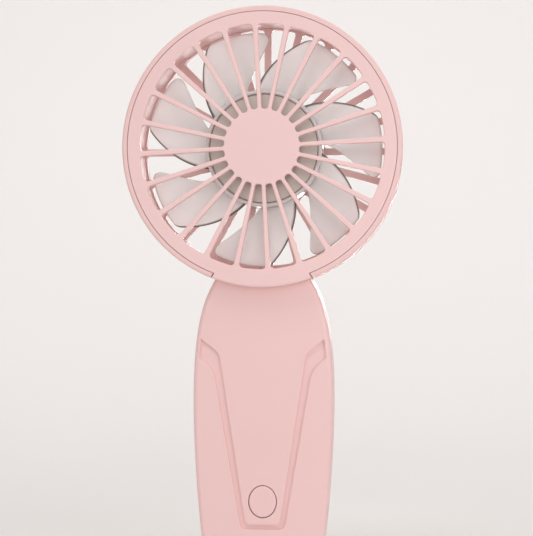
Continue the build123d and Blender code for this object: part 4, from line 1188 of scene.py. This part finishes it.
# ---------------------------------------------------------------- stage
class FAN_OT_stage(bpy.types.Operator):
    """Build the floor with its backdrop, the soft lights and the camera"""

    bl_idname = "fan.stage"
    bl_label = "Stage"

    def execute(self, context):
        scene = context.scene
        stage = scene.fan_stage
        self.backdrop(stage)
        self.lights(scene)
        self.camera(scene, stage)
        return {"FINISHED"}

    def backdrop(self, stage):
        """A floor that curves up into a wall behind the fan."""
        half, near, far, bend, top = 3.0, -2.0, 0.75, 0.35, 2.4
        line = [(near, 0.0)] + [(far - bend + bend * sin(pi / 2 * i / 16),
                                 bend - bend * cos(pi / 2 * i / 16)) for i in range(17)]
        line.append((far, top))
        mesh = bmesh.new()
        skin(mesh, [[Vector((x, y, z)) for y, z in line] for x in (half, -half)], closed=False)
        for face in mesh.faces:
            face.smooth = True
        data = written(mesh, "floor")
        floor = add_object(data, "floor")
        material, tree, shader = new_material("stage_paper")
        place = object_place(tree)
        tone = noise(tree, place, 3.0, 4.0)
        connect(tree, shader, Base_Color=mixed(tree, tone, shade(stage.floor, 0.985),
                                               shade(stage.floor, 1.01)),
                Roughness=ranged(tree, tone, 0.7, 0.85))
        data.materials.append(material)

    def lights(self, scene):
        """Large soft lights from the right, in front and behind, in a pale surround."""
        warm, fan = (1.0, 0.995, 0.99), (0, 0, 0.1)
        for name, place, aim, size, spread, power, tint in (
            ("key_light", (0.55, -0.85, 0.75), fan, 0.7, 180, 1.35, warm),
            ("front_light", (0.12, -1.3, 0.3), fan, 0.7, 180, 2.2, warm),
            ("side_light", (0.17, -0.15, 0.11), fan, 0.1, 180, 0.05, warm),
            ("back_light", (0.0, 0.45, 0.16), (0, 0, 0.14), 0.2, 30, 0.06, (1.0, 1.0, 1.0)),
            ("wall_light", (-0.2, -0.5, 1.6), (0, 0.75, 0.5), 0.9, 90, 3.4, (1.0, 0.99, 0.985)),
        ):
            lamp = bpy.data.lights.new(name, "AREA")
            lamp.shape, lamp.size, lamp.energy, lamp.color = "DISK", size, power, tint
            holder = bpy.data.objects.new(name, lamp)
            holder.location = place
            lamp.spread = radians(spread)
            away = holder.location - Vector(aim)
            holder.rotation_euler = away.to_track_quat("Z", "Y").to_euler()
            scene.collection.objects.link(holder)
        world = bpy.data.worlds.new("surround")
        world.use_nodes = True
        sky = world.node_tree.nodes["Background"]
        sky.inputs["Color"].default_value = (1.0, 0.99, 0.985, 1)
        sky.inputs["Strength"].default_value = 0.5
        scene.world = world
        scene.view_settings.view_transform = "Standard"

    def camera(self, scene, stage):
        """The view of the fan, level with its grip's top and a little from its side."""
        turn = stage.view_side
        away = Vector((sin(turn), -cos(turn), 0))
        right = Vector((cos(turn), sin(turn), 0))
        aim = Vector((0, HEAD_LOW.y, stage.height)) + right * stage.aside
        lens = bpy.data.cameras.new("view")
        lens.sensor_width, lens.lens, lens.clip_start = 36, 105, 0.01
        camera = bpy.data.objects.new("view", lens)
        camera.matrix_world = (Matrix.Translation(aim + away * stage.distance)
                               @ Matrix.Rotation(turn, 4, "Z")
                               @ Matrix.Rotation(pi / 2, 4, "X"))
        scene.collection.objects.link(camera)
        scene.camera = camera


# ---------------------------------------------------------------- panel and registration
STEPS = (FAN_OT_stage, FAN_OT_front_cover, FAN_OT_head_ring, FAN_OT_impeller, FAN_OT_rotor,
         FAN_OT_motor, FAN_OT_grip, FAN_OT_power_button, FAN_OT_screws, FAN_OT_charging_socket,
         FAN_OT_electronics, FAN_OT_leads)


class FAN_PT_panel(bpy.types.Panel):
    """Lists the fan's sizes and the steps that build it"""

    bl_idname = "FAN_PT_panel"
    bl_label = "Handheld Fan"
    bl_space_type = "VIEW_3D"
    bl_region_type = "UI"
    bl_category = "Fan"

    def draw(self, context):
        for step in STEPS:
            self.layout.operator(step.bl_idname)
        for key in GROUPS:
            box = self.layout.box()
            sizes = getattr(context.scene, key)
            for name in sizes.__annotations__:
                box.prop(sizes, name)


def register():
    """Register the classes and hang the sizes on the scene."""
    for kind in (*GROUPS.values(), *STEPS, FAN_PT_panel):
        bpy.utils.register_class(kind)
    for key, kind in GROUPS.items():
        setattr(bpy.types.Scene, key, PointerProperty(type=kind))


def unregister():
    """Undo what register does."""
    for key in GROUPS:
        delattr(bpy.types.Scene, key)
    for kind in reversed((*GROUPS.values(), *STEPS, FAN_PT_panel)):
        bpy.utils.unregister_class(kind)


def main():
    """Build the whole fan."""
    register()
    for step in STEPS:
        group, action = step.bl_idname.split(".")
        getattr(getattr(bpy.ops, group), action)()


if __name__ == "__main__":
    main()
